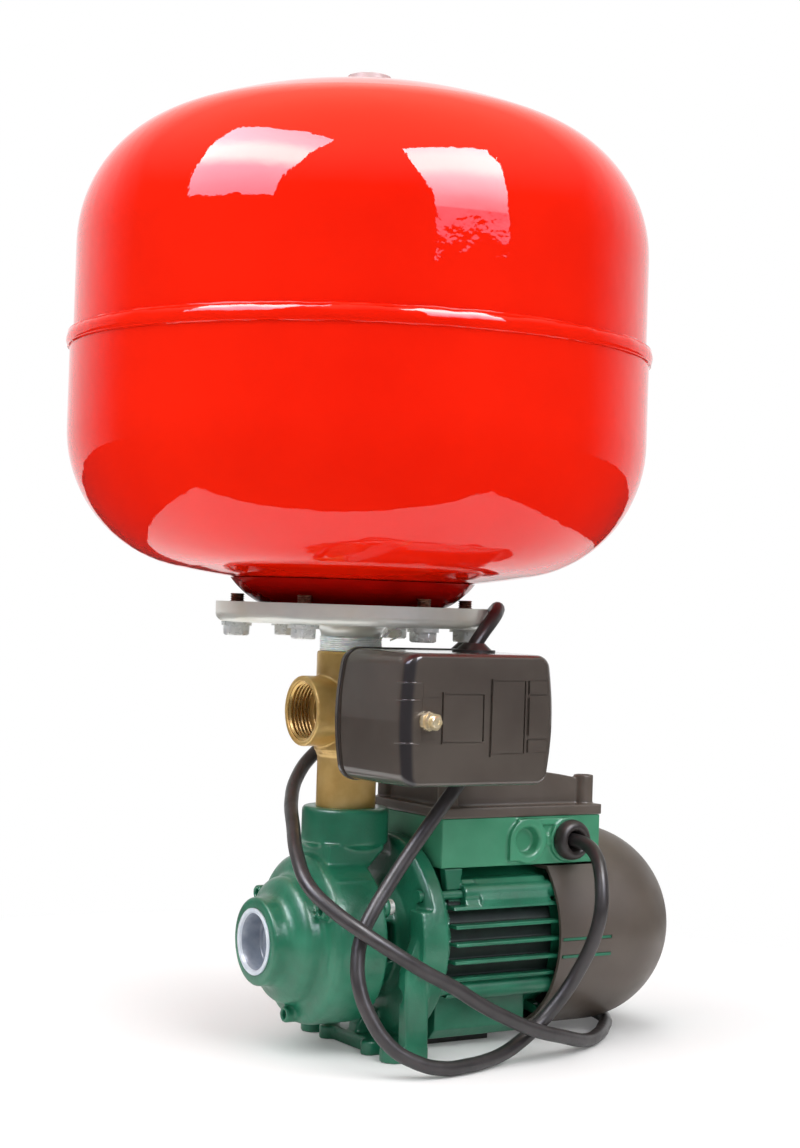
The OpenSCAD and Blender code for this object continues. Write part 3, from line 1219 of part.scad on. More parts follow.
tank_upper_shell();
tank_lower_shell();
tank_neck_ring();
tank_membrane();
air_valve();
valve_pin();
valve_cap();
counter_flange();
flange_nipple();
thread_tape();
flange_bolts();
flange_washers();
five_way_fitting();
port_plug();
switch_connector();
switch_base();
switch_diaphragm();
switch_plunger();
contact_lever();
contact_block();
switch_springs();
spring_nuts();
cover_nut();
switch_cover();
switch_glands();
pump_casing();
suction_plug();
casing_screws();
impeller();
seal_plate();
seal_seat();
seal_head();
casing_oring();
motor_bracket();
motor_housing();
stator_core();
stator_windings();
rotor_core();
motor_shaft();
bearing_outer_rings();
bearing_inner_rings();
end_shield();
cooling_fan();
fan_cover();
fan_cover_screws();
tie_bolts();
rear_pad();
terminal_box();
terminal_box_lid();
lid_screws();
run_capacitor();
terminal_block();
box_grommet();
motor_cord();
mains_cord();
mains_coil();
mains_plug();
plug_pins();
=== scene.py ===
import bpy
import bmesh
import json
import math
from mathutils import Matrix, Vector, noise

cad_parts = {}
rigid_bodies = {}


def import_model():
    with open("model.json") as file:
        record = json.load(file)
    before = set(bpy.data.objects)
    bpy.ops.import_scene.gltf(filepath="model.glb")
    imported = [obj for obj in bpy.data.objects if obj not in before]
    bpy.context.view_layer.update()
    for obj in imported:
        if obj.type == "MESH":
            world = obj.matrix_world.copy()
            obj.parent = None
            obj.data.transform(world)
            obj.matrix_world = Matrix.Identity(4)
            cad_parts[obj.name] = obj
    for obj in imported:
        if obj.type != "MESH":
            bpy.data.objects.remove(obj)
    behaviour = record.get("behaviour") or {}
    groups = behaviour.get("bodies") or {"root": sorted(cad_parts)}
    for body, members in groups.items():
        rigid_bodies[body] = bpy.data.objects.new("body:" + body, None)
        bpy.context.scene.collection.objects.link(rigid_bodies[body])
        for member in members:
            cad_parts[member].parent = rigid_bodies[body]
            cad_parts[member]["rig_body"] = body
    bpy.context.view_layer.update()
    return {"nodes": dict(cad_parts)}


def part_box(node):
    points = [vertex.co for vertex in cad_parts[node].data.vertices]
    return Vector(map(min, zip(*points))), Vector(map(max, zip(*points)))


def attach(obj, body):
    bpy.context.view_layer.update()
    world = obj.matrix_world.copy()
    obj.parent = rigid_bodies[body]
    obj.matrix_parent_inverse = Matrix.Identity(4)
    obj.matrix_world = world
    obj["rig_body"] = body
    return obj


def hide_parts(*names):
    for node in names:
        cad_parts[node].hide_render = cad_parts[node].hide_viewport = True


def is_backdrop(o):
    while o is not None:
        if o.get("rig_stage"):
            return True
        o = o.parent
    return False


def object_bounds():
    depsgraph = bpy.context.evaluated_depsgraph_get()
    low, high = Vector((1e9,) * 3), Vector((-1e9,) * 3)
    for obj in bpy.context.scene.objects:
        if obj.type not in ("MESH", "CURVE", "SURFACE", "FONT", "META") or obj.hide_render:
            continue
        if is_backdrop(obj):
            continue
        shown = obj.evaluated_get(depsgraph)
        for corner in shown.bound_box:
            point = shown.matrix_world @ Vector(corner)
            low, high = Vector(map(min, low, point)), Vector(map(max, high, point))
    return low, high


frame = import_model()
nodes = frame["nodes"]
scene = bpy.context.scene
scene.view_settings.view_transform = "Standard"
MM = 0.001
IMAGE_HEIGHT, FOCAL_PX, SENSOR = 1148, 2016.48, 36
AMBIENT = 0.32      # diffuse light of the room
ROOM_DIM = 0.06     # room behind the camera, as reflections show it
DUSK = 0.05         # floor off the white sheet, as reflections show it
CEILING = 0.78      # warm ceiling, as reflections show it


def mm(points):
    """Points in mm as vectors in metres."""
    return [Vector(p) * MM for p in points]


def link(name, data):
    """A new object in the scene."""
    o = bpy.data.objects.new(name, data)
    scene.collection.objects.link(o)
    return o


def set_range(node, low, high, to_low=0.0, to_high=1.0):
    """Sets the limits of a Map Range node and returns its result."""
    for k, v in (("From Min", low), ("From Max", high), ("To Min", to_low), ("To Max", to_high)):
        node.inputs[k].default_value = v
    return node.outputs["Result"]


def set_ramp(node, stops):
    """Fills a Color Ramp with (position, colour) stops and returns its colour."""
    e = node.color_ramp.elements
    while len(e) < len(stops):
        e.new(0.5)
    for k, (at, col) in enumerate(stops):
        e[k].position = at
        e[k].color = (*col[:3], 1)
    return node.outputs["Color"]


def by_type(sockets, kind):
    """The sockets of one type, since a Mix node has several of the same name."""
    return [k for k in sockets if k.type == kind]


# Camera at the photograph's place
CAM = Vector((-0.5983, -0.9905, 0.2516))
AZ, YAW, PITCH, ROLL = (math.radians(v) for v in (-30.705, -1.335, 0.915, 1.869))
fwd = Vector((-math.sin(AZ + YAW) * math.cos(PITCH), math.cos(AZ + YAW) * math.cos(PITCH), math.sin(PITCH)))
level = Vector((math.cos(AZ + YAW), math.sin(AZ + YAW), 0))
above = level.cross(fwd)
right = math.cos(ROLL) * level + math.sin(ROLL) * above
up = -math.sin(ROLL) * level + math.cos(ROLL) * above
cam_data = bpy.data.cameras.new("photo_camera")
cam = link("photo_camera", cam_data)
turn = Matrix((right, up, -fwd)).transposed().to_4x4()
turn.translation = CAM
cam.matrix_world = turn
cam_data.sensor_fit = "VERTICAL"
cam_data.sensor_height = SENSOR
cam_data.lens = FOCAL_PX / IMAGE_HEIGHT * SENSOR
cam_data.clip_start = 0.05
cam_data.clip_end = 30
scene.camera = cam


# Shader helpers
def linear(r, g, b):
    """A colour of 0 to 255 as the linear values that a socket takes."""
    return tuple(((c / 255 + 0.055) / 1.055) ** 2.4 if c > 10 else c / 255 / 12.92
                 for c in (r, g, b)) + (1.0,)


class Mat:
    """A Principled material with object coordinates in metres."""

    def __init__(self, name, color, rough, metal=0.0, **sockets):
        self.m = bpy.data.materials.new(name)
        self.m.use_nodes = True
        self.nt = self.m.node_tree
        self.p = self.nt.nodes["Principled BSDF"]
        self.p.inputs["Base Color"].default_value = color
        self.p.inputs["Roughness"].default_value = rough
        self.p.inputs["Metallic"].default_value = metal
        for k, v in sockets.items():
            self.p.inputs[k.replace("_", " ")].default_value = v
        self.co = self.nt.nodes.new("ShaderNodeTexCoord").outputs["Object"]
        self.normal = None

    def node(self, kind, **inputs):
        n = self.nt.nodes.new(kind)
        for k, v in inputs.items():
            s = n.inputs[k.replace("_", " ")]
            if hasattr(v, "node"):
                self.nt.links.new(v, s)
            else:
                s.default_value = v
        return n

    def stretch(self, scale):
        n = self.nt.nodes.new("ShaderNodeMapping")
        n.inputs["Scale"].default_value = scale
        self.nt.links.new(self.co, n.inputs["Vector"])
        return n.outputs["Vector"]

    def noise(self, scale, detail=3.0, rough=0.5, co=None):
        return self.node("ShaderNodeTexNoise", Vector=co or self.co, Scale=scale, Detail=detail,
                         Roughness=rough).outputs["Fac"]

    def color(self, fac, stops):
        ramp = set_ramp(self.node("ShaderNodeValToRGB", Fac=fac), stops)
        self.nt.links.new(ramp, self.p.inputs["Base Color"])

    def rough(self, fac, low, high):
        share = set_range(self.node("ShaderNodeMapRange", Value=fac), 0.3, 0.7, low, high)
        self.nt.links.new(share, self.p.inputs["Roughness"])

    def bump(self, height, distance, strength=1.0):
        n = self.node("ShaderNodeBump", Height=height, Distance=distance, Strength=strength)
        if self.normal:
            self.nt.links.new(self.normal, n.inputs["Normal"])
        self.normal = n.outputs["Normal"]
        self.nt.links.new(self.normal, self.p.inputs["Normal"])
        self.nt.links.new(self.normal, self.p.inputs["Coat Normal"])


def dress(mat, *objs):
    for o in objs:
        o = nodes[o] if isinstance(o, str) else o
        o.data.materials.clear()
        o.data.materials.append(mat.m)


# Tank enamel: deep gloss red with a faint orange peel
red = Mat("enamel_red", linear(218, 24, 3), 0.5, Coat_Weight=1.0, Coat_Roughness=0.02, Coat_IOR=1.52,
          Specular_IOR_Level=0.0)
red.color(red.noise(9, 5), [(0.3, linear(211, 21, 2)), (0.7, linear(225, 28, 5))])
red.bump(red.noise(24, 2), 0.0008, 0.28)
red.bump(red.noise(62, 3), 0.0006, 0.22)
red.bump(red.noise(150, 2), 0.00014, 0.3)
# Neck ring: the tank's red enamel painted darker, as painted shade under the tank
red_painted_shade = Mat("enamel_red_bowl_painted_shade", linear(150, 9, 4), 0.45, Coat_Weight=1.0, Coat_Roughness=0.05,
               Specular_IOR_Level=0.0)
red_painted_shade.color(red_painted_shade.noise(30, 4), [(0.3, linear(128, 7, 3)), (0.7, linear(170, 12, 6))])
red_painted_shade.bump(red_painted_shade.noise(120, 3), 0.0004, 0.5)

zinc = Mat("zinc_plate", linear(206, 208, 200), 0.3, 0.45)
zinc.color(zinc.noise(28, 4), [(0.3, linear(198, 202, 198)), (0.55, linear(212, 213, 205)),
                               (0.75, linear(206, 203, 186))])
zinc.rough(zinc.noise(40, 4), 0.28, 0.34)
zinc.bump(zinc.noise(500, 3), 0.00004, 0.5)
bolt_zinc = Mat("zinc_fastener", linear(208, 211, 206), 0.3, 0.35)
bolt_zinc.color(bolt_zinc.noise(90, 3), [(0.3, linear(196, 201, 202)), (0.55, linear(214, 215, 211)),
                                         (0.75, linear(206, 201, 184))])
bolt_zinc.rough(bolt_zinc.noise(300, 4), 0.24, 0.34)
bolt_zinc.bump(bolt_zinc.noise(900, 2), 0.00002, 0.3)
old_bolt = Mat("bolt_end", linear(132, 100, 78), 0.42, 0.5)
old_bolt.color(old_bolt.noise(500, 4), [(0.3, linear(96, 72, 56)), (0.7, linear(176, 152, 126))])
old_bolt.bump(old_bolt.noise(1500, 3), 0.0001, 0.5)

brass = Mat("brass_cast", linear(206, 166, 98), 0.34, 0.5)
brass.color(brass.noise(70, 4), [(0.3, linear(192, 153, 84)), (0.5, linear(206, 170, 102)),
                                 (0.72, linear(218, 186, 122))])
brass.rough(brass.noise(120, 4), 0.28, 0.44)
brass.bump(brass.noise(600, 4), 0.0001, 0.5)
brass_cut = Mat("brass_cut", linear(214, 176, 106), 0.26, 0.85)
brass_cut.color(brass_cut.noise(120, 4), [(0.3, linear(200, 162, 92)), (0.7, linear(226, 194, 128))])
brass_cut.bump(brass_cut.noise(1400, 3), 0.00005, 0.5)

tape = Mat("ptfe_tape", linear(236, 238, 238), 0.6, Subsurface_Weight=0.3, Subsurface_Scale=0.002)
tape.color(tape.noise(300, 4), [(0.3, linear(222, 226, 228)), (0.7, linear(246, 247, 246))])
tape.bump(tape.noise(420, 4, co=tape.stretch((1, 1, 5))), 0.0002, 0.6)

green = Mat("casting_green", linear(24, 106, 78), 0.38, Coat_Weight=0.3, Coat_Roughness=0.2)
green.color(green.noise(38, 5), [(0.3, linear(18, 93, 67)), (0.55, linear(26, 111, 82)),
                                 (0.75, linear(40, 127, 97))])
green.rough(green.noise(80, 4), 0.32, 0.46)
green.bump(green.noise(420, 3), 0.00028, 0.6)
green.bump(green.noise(1500, 2), 0.00006, 0.5)
box_green = Mat("box_green", linear(56, 135, 100), 0.42, Coat_Weight=0.2, Coat_Roughness=0.25)
box_green.color(box_green.noise(30, 4), [(0.3, linear(48, 126, 92)), (0.7, linear(64, 144, 109))])
box_green.rough(box_green.noise(90, 4), 0.36, 0.5)
box_green.bump(box_green.noise(900, 3), 0.0001, 0.6)

# The cover: its left rounding gets a darker base colour by the way that the surface faces, a painted dark
# reflection of the room
gloss = Mat("switch_black", linear(72, 65, 60), 0.4, Coat_Weight=1.0, Coat_Roughness=0.07,
            Specular_IOR_Level=0.2)
gloss.color(gloss.noise(24, 4), [(0.3, linear(66, 59, 54)), (0.7, linear(78, 71, 65))])
facing = gloss.node("ShaderNodeSeparateXYZ", Vector=gloss.co.node.outputs["Normal"])
shares = []
for axis, near, far in (("X", -0.07, -0.36), ("Y", -0.1, -0.42)):
    shares.append(set_range(gloss.node("ShaderNodeMapRange", Value=facing.outputs[axis]), near, far))
both = gloss.node("ShaderNodeMath")
both.operation = "MULTIPLY"
gloss.nt.links.new(shares[0], both.inputs[0])
gloss.nt.links.new(shares[1], both.inputs[1])
# Painted dark reflection: the base colour turns darker where the surface faces left and towards the front
dark_reflection_mix = gloss.node("ShaderNodeMix")
dark_reflection_mix.data_type = "RGBA"
gloss.nt.links.new(both.outputs["Value"], dark_reflection_mix.inputs["Factor"])
plain, reflected_dark = by_type(dark_reflection_mix.inputs, "RGBA")
gloss.nt.links.new(gloss.p.inputs["Base Color"].links[0].from_socket, plain)
reflected_dark.default_value = linear(39, 36, 38)
gloss.nt.links.new(by_type(dark_reflection_mix.outputs, "RGBA")[0], gloss.p.inputs["Base Color"])
gloss.bump(gloss.noise(260, 3), 0.00005, 0.35)
satin = Mat("satin_black", linear(82, 73, 66), 0.42, Specular_IOR_Level=0.5)
satin.color(satin.noise(26, 4), [(0.3, linear(76, 67, 60)), (0.7, linear(89, 80, 72))])
satin.rough(satin.noise(60, 4), 0.36, 0.5)
satin.bump(satin.noise(1300, 3), 0.00008, 0.6)
plastic = Mat("plain_black", linear(34, 33, 33), 0.5)
plastic.color(plastic.noise(60, 4), [(0.3, linear(28, 27, 27)), (0.7, linear(42, 40, 40))])
plastic.bump(plastic.noise(1500, 3), 0.00008, 0.6)
rubber = Mat("gland_rubber", linear(50, 46, 45), 0.4)
rubber.color(rubber.noise(140, 4), [(0.3, linear(42, 38, 38)), (0.7, linear(60, 55, 53))])
rubber.bump(rubber.noise(1200, 4), 0.00012, 0.6)
lead = Mat("cord_black", linear(47, 44, 45), 0.36)
lead.color(lead.noise(70, 5), [(0.3, linear(40, 38, 39)), (0.7, linear(57, 53, 54))])
lead.rough(lead.noise(160, 4), 0.3, 0.44)
lead.bump(lead.noise(260, 4), 0.00022, 0.5)
lead.bump(lead.noise(2200, 3), 0.00005, 0.5)

milky = Mat("plug_white", linear(196, 206, 216), 0.3, Coat_Weight=0.3)
milky.color(milky.noise(120, 4), [(0.3, linear(184, 195, 208)), (0.7, linear(208, 215, 222))])
milky.bump(milky.noise(500, 3), 0.00008, 0.5)
# Painted shade for the inside of the plug's cup
plug_shade = Mat("plug_hollow_painted_shade", linear(128, 138, 152), 0.35, Coat_Weight=0.2)
plug_shade.color(plug_shade.noise(150, 4), [(0.3, linear(112, 122, 138)), (0.7, linear(142, 150, 162))])
plug_shade.bump(plug_shade.noise(500, 3), 0.0001, 0.5)
cream = Mat("pale_plastic", linear(214, 210, 192), 0.45)
cream.color(cream.noise(90, 4), [(0.3, linear(204, 199, 180)), (0.7, linear(222, 218, 202))])
cream.bump(cream.noise(900, 3), 0.00006, 0.5)
cap_grey = Mat("cap_grey", linear(188, 184, 184), 0.4)
cap_grey.color(cap_grey.noise(160, 4), [(0.3, linear(176, 172, 172)), (0.7, linear(200, 196, 195))])
cap_grey.bump(cap_grey.noise(900, 3), 0.00006, 0.5)
# Painted shade for the valleys between the motor's fins
valley_shade = Mat("housing_valley_painted_shade", linear(9, 32, 24), 0.6)
valley_shade.color(valley_shade.noise(90, 4), [(0.3, linear(6, 24, 18)), (0.7, linear(12, 40, 30))])
valley_shade.bump(valley_shade.noise(420, 3), 0.0003, 0.6)
bright = Mat("acorn_bright", linear(228, 210, 170), 0.18, 0.6)
bright.color(bright.noise(300, 4), [(0.3, linear(214, 192, 146)), (0.7, linear(240, 228, 198))])
bright.bump(bright.noise(1400, 3), 0.00003, 0.5)
steel = Mat("shaft_steel", linear(188, 190, 192), 0.24, 1.0)
steel.color(steel.noise(160, 4), [(0.3, linear(168, 171, 174)), (0.7, linear(202, 204, 205))])
steel.bump(steel.noise(1200, 3, co=steel.stretch((0.1, 1, 1))), 0.00005, 0.5)
lamination = Mat("lamination_steel", linear(120, 122, 124), 0.42, 0.9)
lamination.color(lamination.noise(120, 4), [(0.3, linear(98, 100, 103)), (0.7, linear(138, 139, 140))])
sheets = lamination.node("ShaderNodeTexWave", Vector=lamination.co, Scale=320.0).outputs["Fac"]
lamination.bump(sheets, 0.0001, 0.6)
copper = Mat("winding_copper", linear(176, 104, 60), 0.34, 1.0)
copper.color(copper.noise(200, 4), [(0.3, linear(150, 82, 44)), (0.7, linear(196, 124, 76))])
copper.bump(copper.noise(900, 3, co=copper.stretch((0.2, 1, 1))), 0.0003, 0.7)
iron = Mat("cast_grey", linear(104, 106, 108), 0.55, 0.7)
iron.color(iron.noise(120, 5), [(0.3, linear(84, 86, 88)), (0.7, linear(124, 126, 126))])
iron.bump(iron.noise(800, 4), 0.0002, 0.6)
ceramic = Mat("seal_ceramic", linear(226, 222, 210), 0.25)
ceramic.color(ceramic.noise(150, 3), [(0.3, linear(218, 213, 200)), (0.7, linear(232, 229, 219))])
can = Mat("capacitor_can", linear(208, 209, 211), 0.3, 1.0)
can.color(can.noise(80, 4), [(0.3, linear(192, 194, 197)), (0.7, linear(218, 219, 220))])
can.bump(can.noise(700, 3), 0.00005, 0.5)

dress(red, "tank_upper_shell", "tank_lower_shell")
dress(red_painted_shade, "tank_neck_ring")
dress(zinc, "counter_flange", "flange_nipple", "switch_connector", "switch_base")
dress(bolt_zinc, "flange_bolts", "flange_washers", "casing_screws", "fan_cover_screws", "lid_screws",
      "spring_nuts", "switch_springs")
dress(brass, "five_way_fitting", "port_plug", "impeller", "contact_lever")
dress(brass_cut, "air_valve", "valve_pin")
dress(tape, "thread_tape")
dress(rubber, "tank_membrane", "switch_diaphragm", "casing_oring", "rear_pad", "seal_head", "switch_glands",
      "box_grommet")
dress(gloss, "switch_cover")
dress(plastic, "contact_block", "cooling_fan", "mains_plug")
dress(cream, "switch_plunger", "terminal_block")
dress(cap_grey, "valve_cap")
dress(milky, "suction_plug")
dress(bright, "cover_nut", "plug_pins")
dress(green, "pump_casing", "motor_bracket", "motor_housing", "end_shield", "tie_bolts")
dress(box_green, "terminal_box")
dress(satin, "terminal_box_lid", "fan_cover")
dress(iron, "seal_plate")
dress(ceramic, "seal_seat")
dress(lamination, "stator_core", "rotor_core")
dress(steel, "motor_shaft", "bearing_outer_rings", "bearing_inner_rings")
dress(copper, "stator_windings")
dress(can, "run_capacitor")
dress(lead, "motor_cord", "mains_cord", "mains_coil")


# Mesh helpers
def add(name, mesh, mat, body, replaces=()):
    """A smooth piece of one material on a body, in the place of the nodes that it replaces."""
    o = link(name, mesh)
    mesh.materials.clear()
    mesh.materials.append(mat.m)
    for p in mesh.polygons:
        p.use_smooth = True
    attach(o, body)
    if replaces:
        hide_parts(*replaces)
    return o


def mesh_of(bm, name):
    """The mesh of a bmesh, which is used up."""
    me = bpy.data.meshes.new(name)
    bm.to_mesh(me)
    bm.free()
    return me


def join(name, meshes):
    """Several meshes as one."""
    bm = bmesh.new()
    for m in meshes:
        bm.from_mesh(m)
    return mesh_of(bm, name)


def lathe(profile, steps, wave=None):
    """Closed ring of quads turned about Z; profile is a closed loop of (r, z) in metres."""
    bm = bmesh.new()
    rings = []
    for k in range(steps):
        a = 2 * math.pi * k / steps
        ring = []
        for i, (r, z) in enumerate(profile):
            dr, dz = wave(i, a) if wave else (0, 0)
            ring.append(bm.verts.new(((r + dr) * math.cos(a), (r + dr) * math.sin(a), z + dz)))
        rings.append(ring)
    n = len(profile)
    for k in range(steps):
        a, b = rings[k], rings[(k + 1) % steps]
        for i in range(n):
            j = (i + 1) % n
            bm.faces.new((a[i], a[j], b[j], b[i]))
    bmesh.ops.remove_doubles(bm, verts=bm.verts, dist=1e-7)
    bmesh.ops.dissolve_degenerate(bm, edges=bm.edges, dist=1e-7)
    bmesh.ops.recalc_face_normals(bm, faces=bm.faces)
    return mesh_of(bm, "lathe")


def place(mesh, at, toward):
    """Turns a mesh drawn about +Z to point along toward, then moves it."""
    q = Vector((0, 0, 1)).rotation_difference(Vector(toward))
    mesh.transform(Matrix.Translation(Vector(at)) @ q.to_matrix().to_4x4())
    return mesh


def boolean(o, tool, operation):
    """Cuts a mesh out of an object or joins it to it, by a modifier; returns the mesh's object."""
    m = o.modifiers.new("boolean", "BOOLEAN")
    m.operation = operation
    m.solver = "EXACT"
    m.use_self = True
    m.object = link("tool", tool)
    return m.object


def baked(o, *tools):
    """The mesh that an object's modifiers give; the object and its tools are removed."""
    new = bpy.data.meshes.new_from_object(o.evaluated_get(bpy.context.evaluated_depsgraph_get()))
    for k in (o, *tools):
        bpy.data.objects.remove(k)
    return new


def cast_copy(node, mat, voxel, rounds, keep, extra=(), cut=None):
    """A casting's softened edges and fillets: the CAD mesh with extra solids, remeshed and smoothed."""
    bm = bmesh.new()
    bm.from_mesh(nodes[node].data)
    bmesh.ops.remove_doubles(bm, verts=bm.verts, dist=1e-6)
    for m in extra:
        bm.from_mesh(m)
    o = link(node + "_cast", mesh_of(bm, node))
    tools = [boolean(o, cut, "DIFFERENCE")] if cut else []
    m = o.modifiers.new("remesh", "REMESH")
    m.mode = "VOXEL"
    m.voxel_size = voxel
    m.use_smooth_shade = True
    m = o.modifiers.new("soften", "SMOOTH")
    m.factor = 0.5
    m.iterations = rounds
    if keep < 1:
        m = o.modifiers.new("thin", "DECIMATE")
        m.ratio = keep
    return add(node + "_cast", baked(o, *tools), mat, nodes[node]["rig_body"], (node,))


# Cords: their routes are those of the CAD tubes
CORD_D = 0.008


def tube(name, points, diameter, mat, around, along):
    """A round tube through points, as a curve on the set's body."""
    c = bpy.data.curves.new(name, "CURVE")
    c.dimensions = "3D"
    c.bevel_depth = diameter / 2
    c.bevel_resolution = around
    c.resolution_u = along
    c.use_fill_caps = True
    s = c.splines.new("BEZIER")
    s.bezier_points.add(len(points) - 1)
    for b, p in zip(s.bezier_points, points):
        b.co = p
        b.handle_left_type = b.handle_right_type = "AUTO"
    c.materials.append(mat.m)
    o = link(name, c)
    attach(o, "pump_set")
    return o


motor_route = mm([[116, -46, 118.7], [116, -54, 118.6], [115.7, -63.5, 117.2], [114.2, -73, 112.8],
    [111.6, -80.8, 105], [109.3, -85.6, 95.2], [107.9, -87.4, 84.5], [106.5, -86, 73], [104.3, -82.4, 61],
    [101, -78, 49.5], [95.5, -74.5, 38], [88, -72.2, 28], [78.5, -71, 18.7], [66, -72, 10.8],
    [52, -75.5, 6], [37, -80.5, 4.3], [21, -85.5, 4.2], [4, -88, 4.8], [-13, -87, 9.5],
    [-27, -83, 18.5], [-36, -77, 33], [-40, -71, 49], [-39, -67, 63], [-35, -65, 76], [-28, -64, 88],
    [-19, -63, 100], [-9, -63, 113.5], [1.5, -64, 127.5], [11, -65, 140], [18.5, -65.8, 149.5],
    [24, -66, 156.5]])
mains_route = mm([[26.5, -66.6, 225], [31, -66, 232], [37, -64.5, 238.7], [45, -60.6, 245],
    [53, -54, 249.8], [60.5, -44, 252], [67, -31, 250], [70, -15, 241], [66, 2, 227], [53, 18, 210],
    [35, 33, 194], [14, 42, 178], [-8, 42, 163], [-24, 32, 151], [-37, 15, 139], [-47, -6, 127],
    [-56, -28, 113], [-58, -46, 99], [-51, -60, 88], [-40, -72, 78], [-25, -80, 67.5],
    [-8, -84, 57], [11, -86, 47], [28, -86, 37], [46, -86, 28], [68, -82, 19], [92, -75, 12],
    [120, -62, 4.8], [140, -48, 4.2], [155, -33, 4.2], [168, -18, 4.2], [177, 0, 4.2],
    [180, 22, 4.2], [178, 46, 4.2], [174, 72, 4.2], [172, 94, 4.2], [172, 112, 4.2]])
tail_route = mm([[168, 110, 12.4], [170, 124, 12.4], [171.5, 138, 9.5], [172.5, 151, 5.5],
    [172.5, 163, 4.6], [170.5, 174, 7], [165, 184, 11], [156, 191.4, 15.5], [145, 195.4, 18.5],
    [135.7, 196.9, 19]])
# Three turns of the coil: outside, inside, then on top between the two
coil = []
for k in range(1, 52):
    a = 20.0 * k
    s = max(0.0, min(1.0, (a - 320) / 60))
    t = max(0.0, min(1.0, (a - 680) / 60))
    s, t = (v * v * (3 - 2 * v) for v in (s, t))
    r = 48 - 8 * s + 4 * t
    coil.append(Vector((124 + r * math.cos(math.radians(a)), 112 + r * math.sin(math.radians(a)),
                        4.2 + 6.95 * t)) * MM)
motor_cord = tube("motor_lead", motor_route, CORD_D, lead, 5, 8)
mains_cord = tube("mains_lead", mains_route + coil + tail_route, CORD_D, lead, 5, 8)
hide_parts("motor_cord")
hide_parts("mains_cord", "mains_coil")

# Weld roll around the tank's seam, a little uneven as the real one is
TANK = Vector((-0.010, 0, 0))
low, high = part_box("tank_lower_shell")
tank_r = (high.x - low.x) / 2
seam_z = high[2] - 0.004


def weld_wave(i, a):
    p = Vector((math.cos(a), math.sin(a), 0.07 * i)) * 9
    q = Vector((math.cos(a), math.sin(a), 0.3 * i)) * 34
    w = noise.noise(p) * 0.7 + noise.noise(q) * 0.35
    edge = 1.0 if i in (1, 2, 8, 9) else 0.35
    return w * 0.0004, w * 0.0009 * edge


roll = [(-0.0032, 0.0052), (-0.0026, 0.0050), (-0.0012, 0.0046), (-0.0001, 0.0034), (0.0006, 0.0016),
        (0.0008, 0.0), (0.0006, -0.0018), (0.0, -0.0034), (-0.0008, -0.0043), (-0.0016, -0.0047),
        (-0.0022, -0.0040)]
weld = [(tank_r + dr, seam_z + dz) for dr, dz in roll]
me = lathe(weld, 720, weld_wave)
me.transform(Matrix.Translation(TANK))
add("tank_seam_weld", me, red, "pump_set")


def ridges(r_root, r_crest, r_back, length, pitch, steps=96):
    """Thread as rings of ridges about Z, from z 0 to length."""
    loop = [(r_back, 0.0)]
    z = 0.0
    while z < length - pitch * 0.5:
        loop += [(r_root, z), (r_root, z + 0.16 * pitch), (r_crest, z + 0.5 * pitch),
                 (r_crest, z + 0.62 * pitch)]
        z += pitch
    loop += [(r_root, z), (r_back, z)]
    return lathe(loop, steps)


def sharp(mesh, degrees=35):
    """The mesh with hard edges where its faces meet at more than an angle."""
    mesh.set_sharp_from_angle(angle=math.radians(degrees))
    return mesh


PORT_Z, PORT_PITCH = 0.191, 0.00231
me = ridges(0.01664, 0.0154, 0.0172, 0.0145, PORT_PITCH)
add("delivery_port_thread", sharp(place(me, (-0.0402, 0, PORT_Z), (1, 0, 0)), 20), brass_cut, "pump_set")


def hex_head(af, h, chamfer=0.0008, steps=48):
    """Hexagon head about Z with its corners turned off below and above."""
    rows = [(0.0, af / 2 * 0.93), (0.12 * chamfer, af / 2 * 0.97), (chamfer, af / 2 * 1.12),
            (h - chamfer * 0.6, af / 2 * 1.16), (h, af / 2 * 1.08)]
    bm = bmesh.new()
    rings = []
    for z, cap in rows:
        ring = []
        for k in range(steps):
            a = 2 * math.pi * k / steps
            flat = (a + math.pi / 6) % (math.pi / 3) - math.pi / 6
            r = min(af / 2 / math.cos(flat), cap)
            ring.append(bm.verts.new((r * math.cos(a), r * math.sin(a), z)))
        rings.append(ring)
    for lower, upper in zip(rings, rings[1:]):
        for k in range(steps):
            j = (k + 1) % steps
            bm.faces.new((lower[k], lower[j], upper[j], upper[k]))
    bm.faces.new(list(reversed(rings[0])))
    bm.faces.new(rings[-1])
    return mesh_of(bm, "hex")


# Flange bolts: chamfered heads below, threaded ends above
FLANGE_Z, WASHER, HEAD_H, BOLT_CIRCLE = 0.240, 0.0022, 0.0056, 0.0655
BOLT_R, BOLT_PITCH, HEAD_AF = 0.004, 0.00125, 0.013
heads, ends = [], []
for k in range(6):
    a = math.radians(36 + 60 * k)
    at = TANK + Vector((BOLT_CIRCLE * math.cos(a), BOLT_CIRCLE * math.sin(a), 0))
    head = hex_head(HEAD_AF, HEAD_H)
    under = Matrix.Translation(at + Vector((0, 0, FLANGE_Z - WASHER - HEAD_H)))
    head.transform(under @ Matrix.Rotation(0.5 * k, 4, "Z"))
    heads.append(head)
    shank = lathe([(0.0, 0.0), (0.0039, 0.0), (0.0039, 0.012), (0.0, 0.012)], 32)
    shank.transform(Matrix.Translation(at + Vector((0, 0, FLANGE_Z - WASHER - 0.0002))))
    heads.append(shank)
    end = ridges(0.0034, BOLT_R, 0.0005, 0.0078, BOLT_PITCH, 40)
    end.transform(Matrix.Translation(at + Vector((0, 0, FLANGE_Z + 0.0085))))
    ends.append(end)
add("flange_bolt_heads", sharp(join("heads", heads)), bolt_zinc, "pump_set", ("flange_bolts",))
add("flange_bolt_ends", sharp(join("ends", ends), 20), old_bolt, "pump_set")


# Sealing tape, wound unevenly
def tape_wave(i, a):
    w = noise.noise(Vector((math.cos(a) * 2.2, math.sin(a) * 2.2, i * 0.9))) + 0.6 * noise.noise(
        Vector((math.cos(a) * 7, math.sin(a) * 7, i * 1.7)))
    return (0, 0) if i in (0, 1) else (w * 0.00035, w * 0.0002)


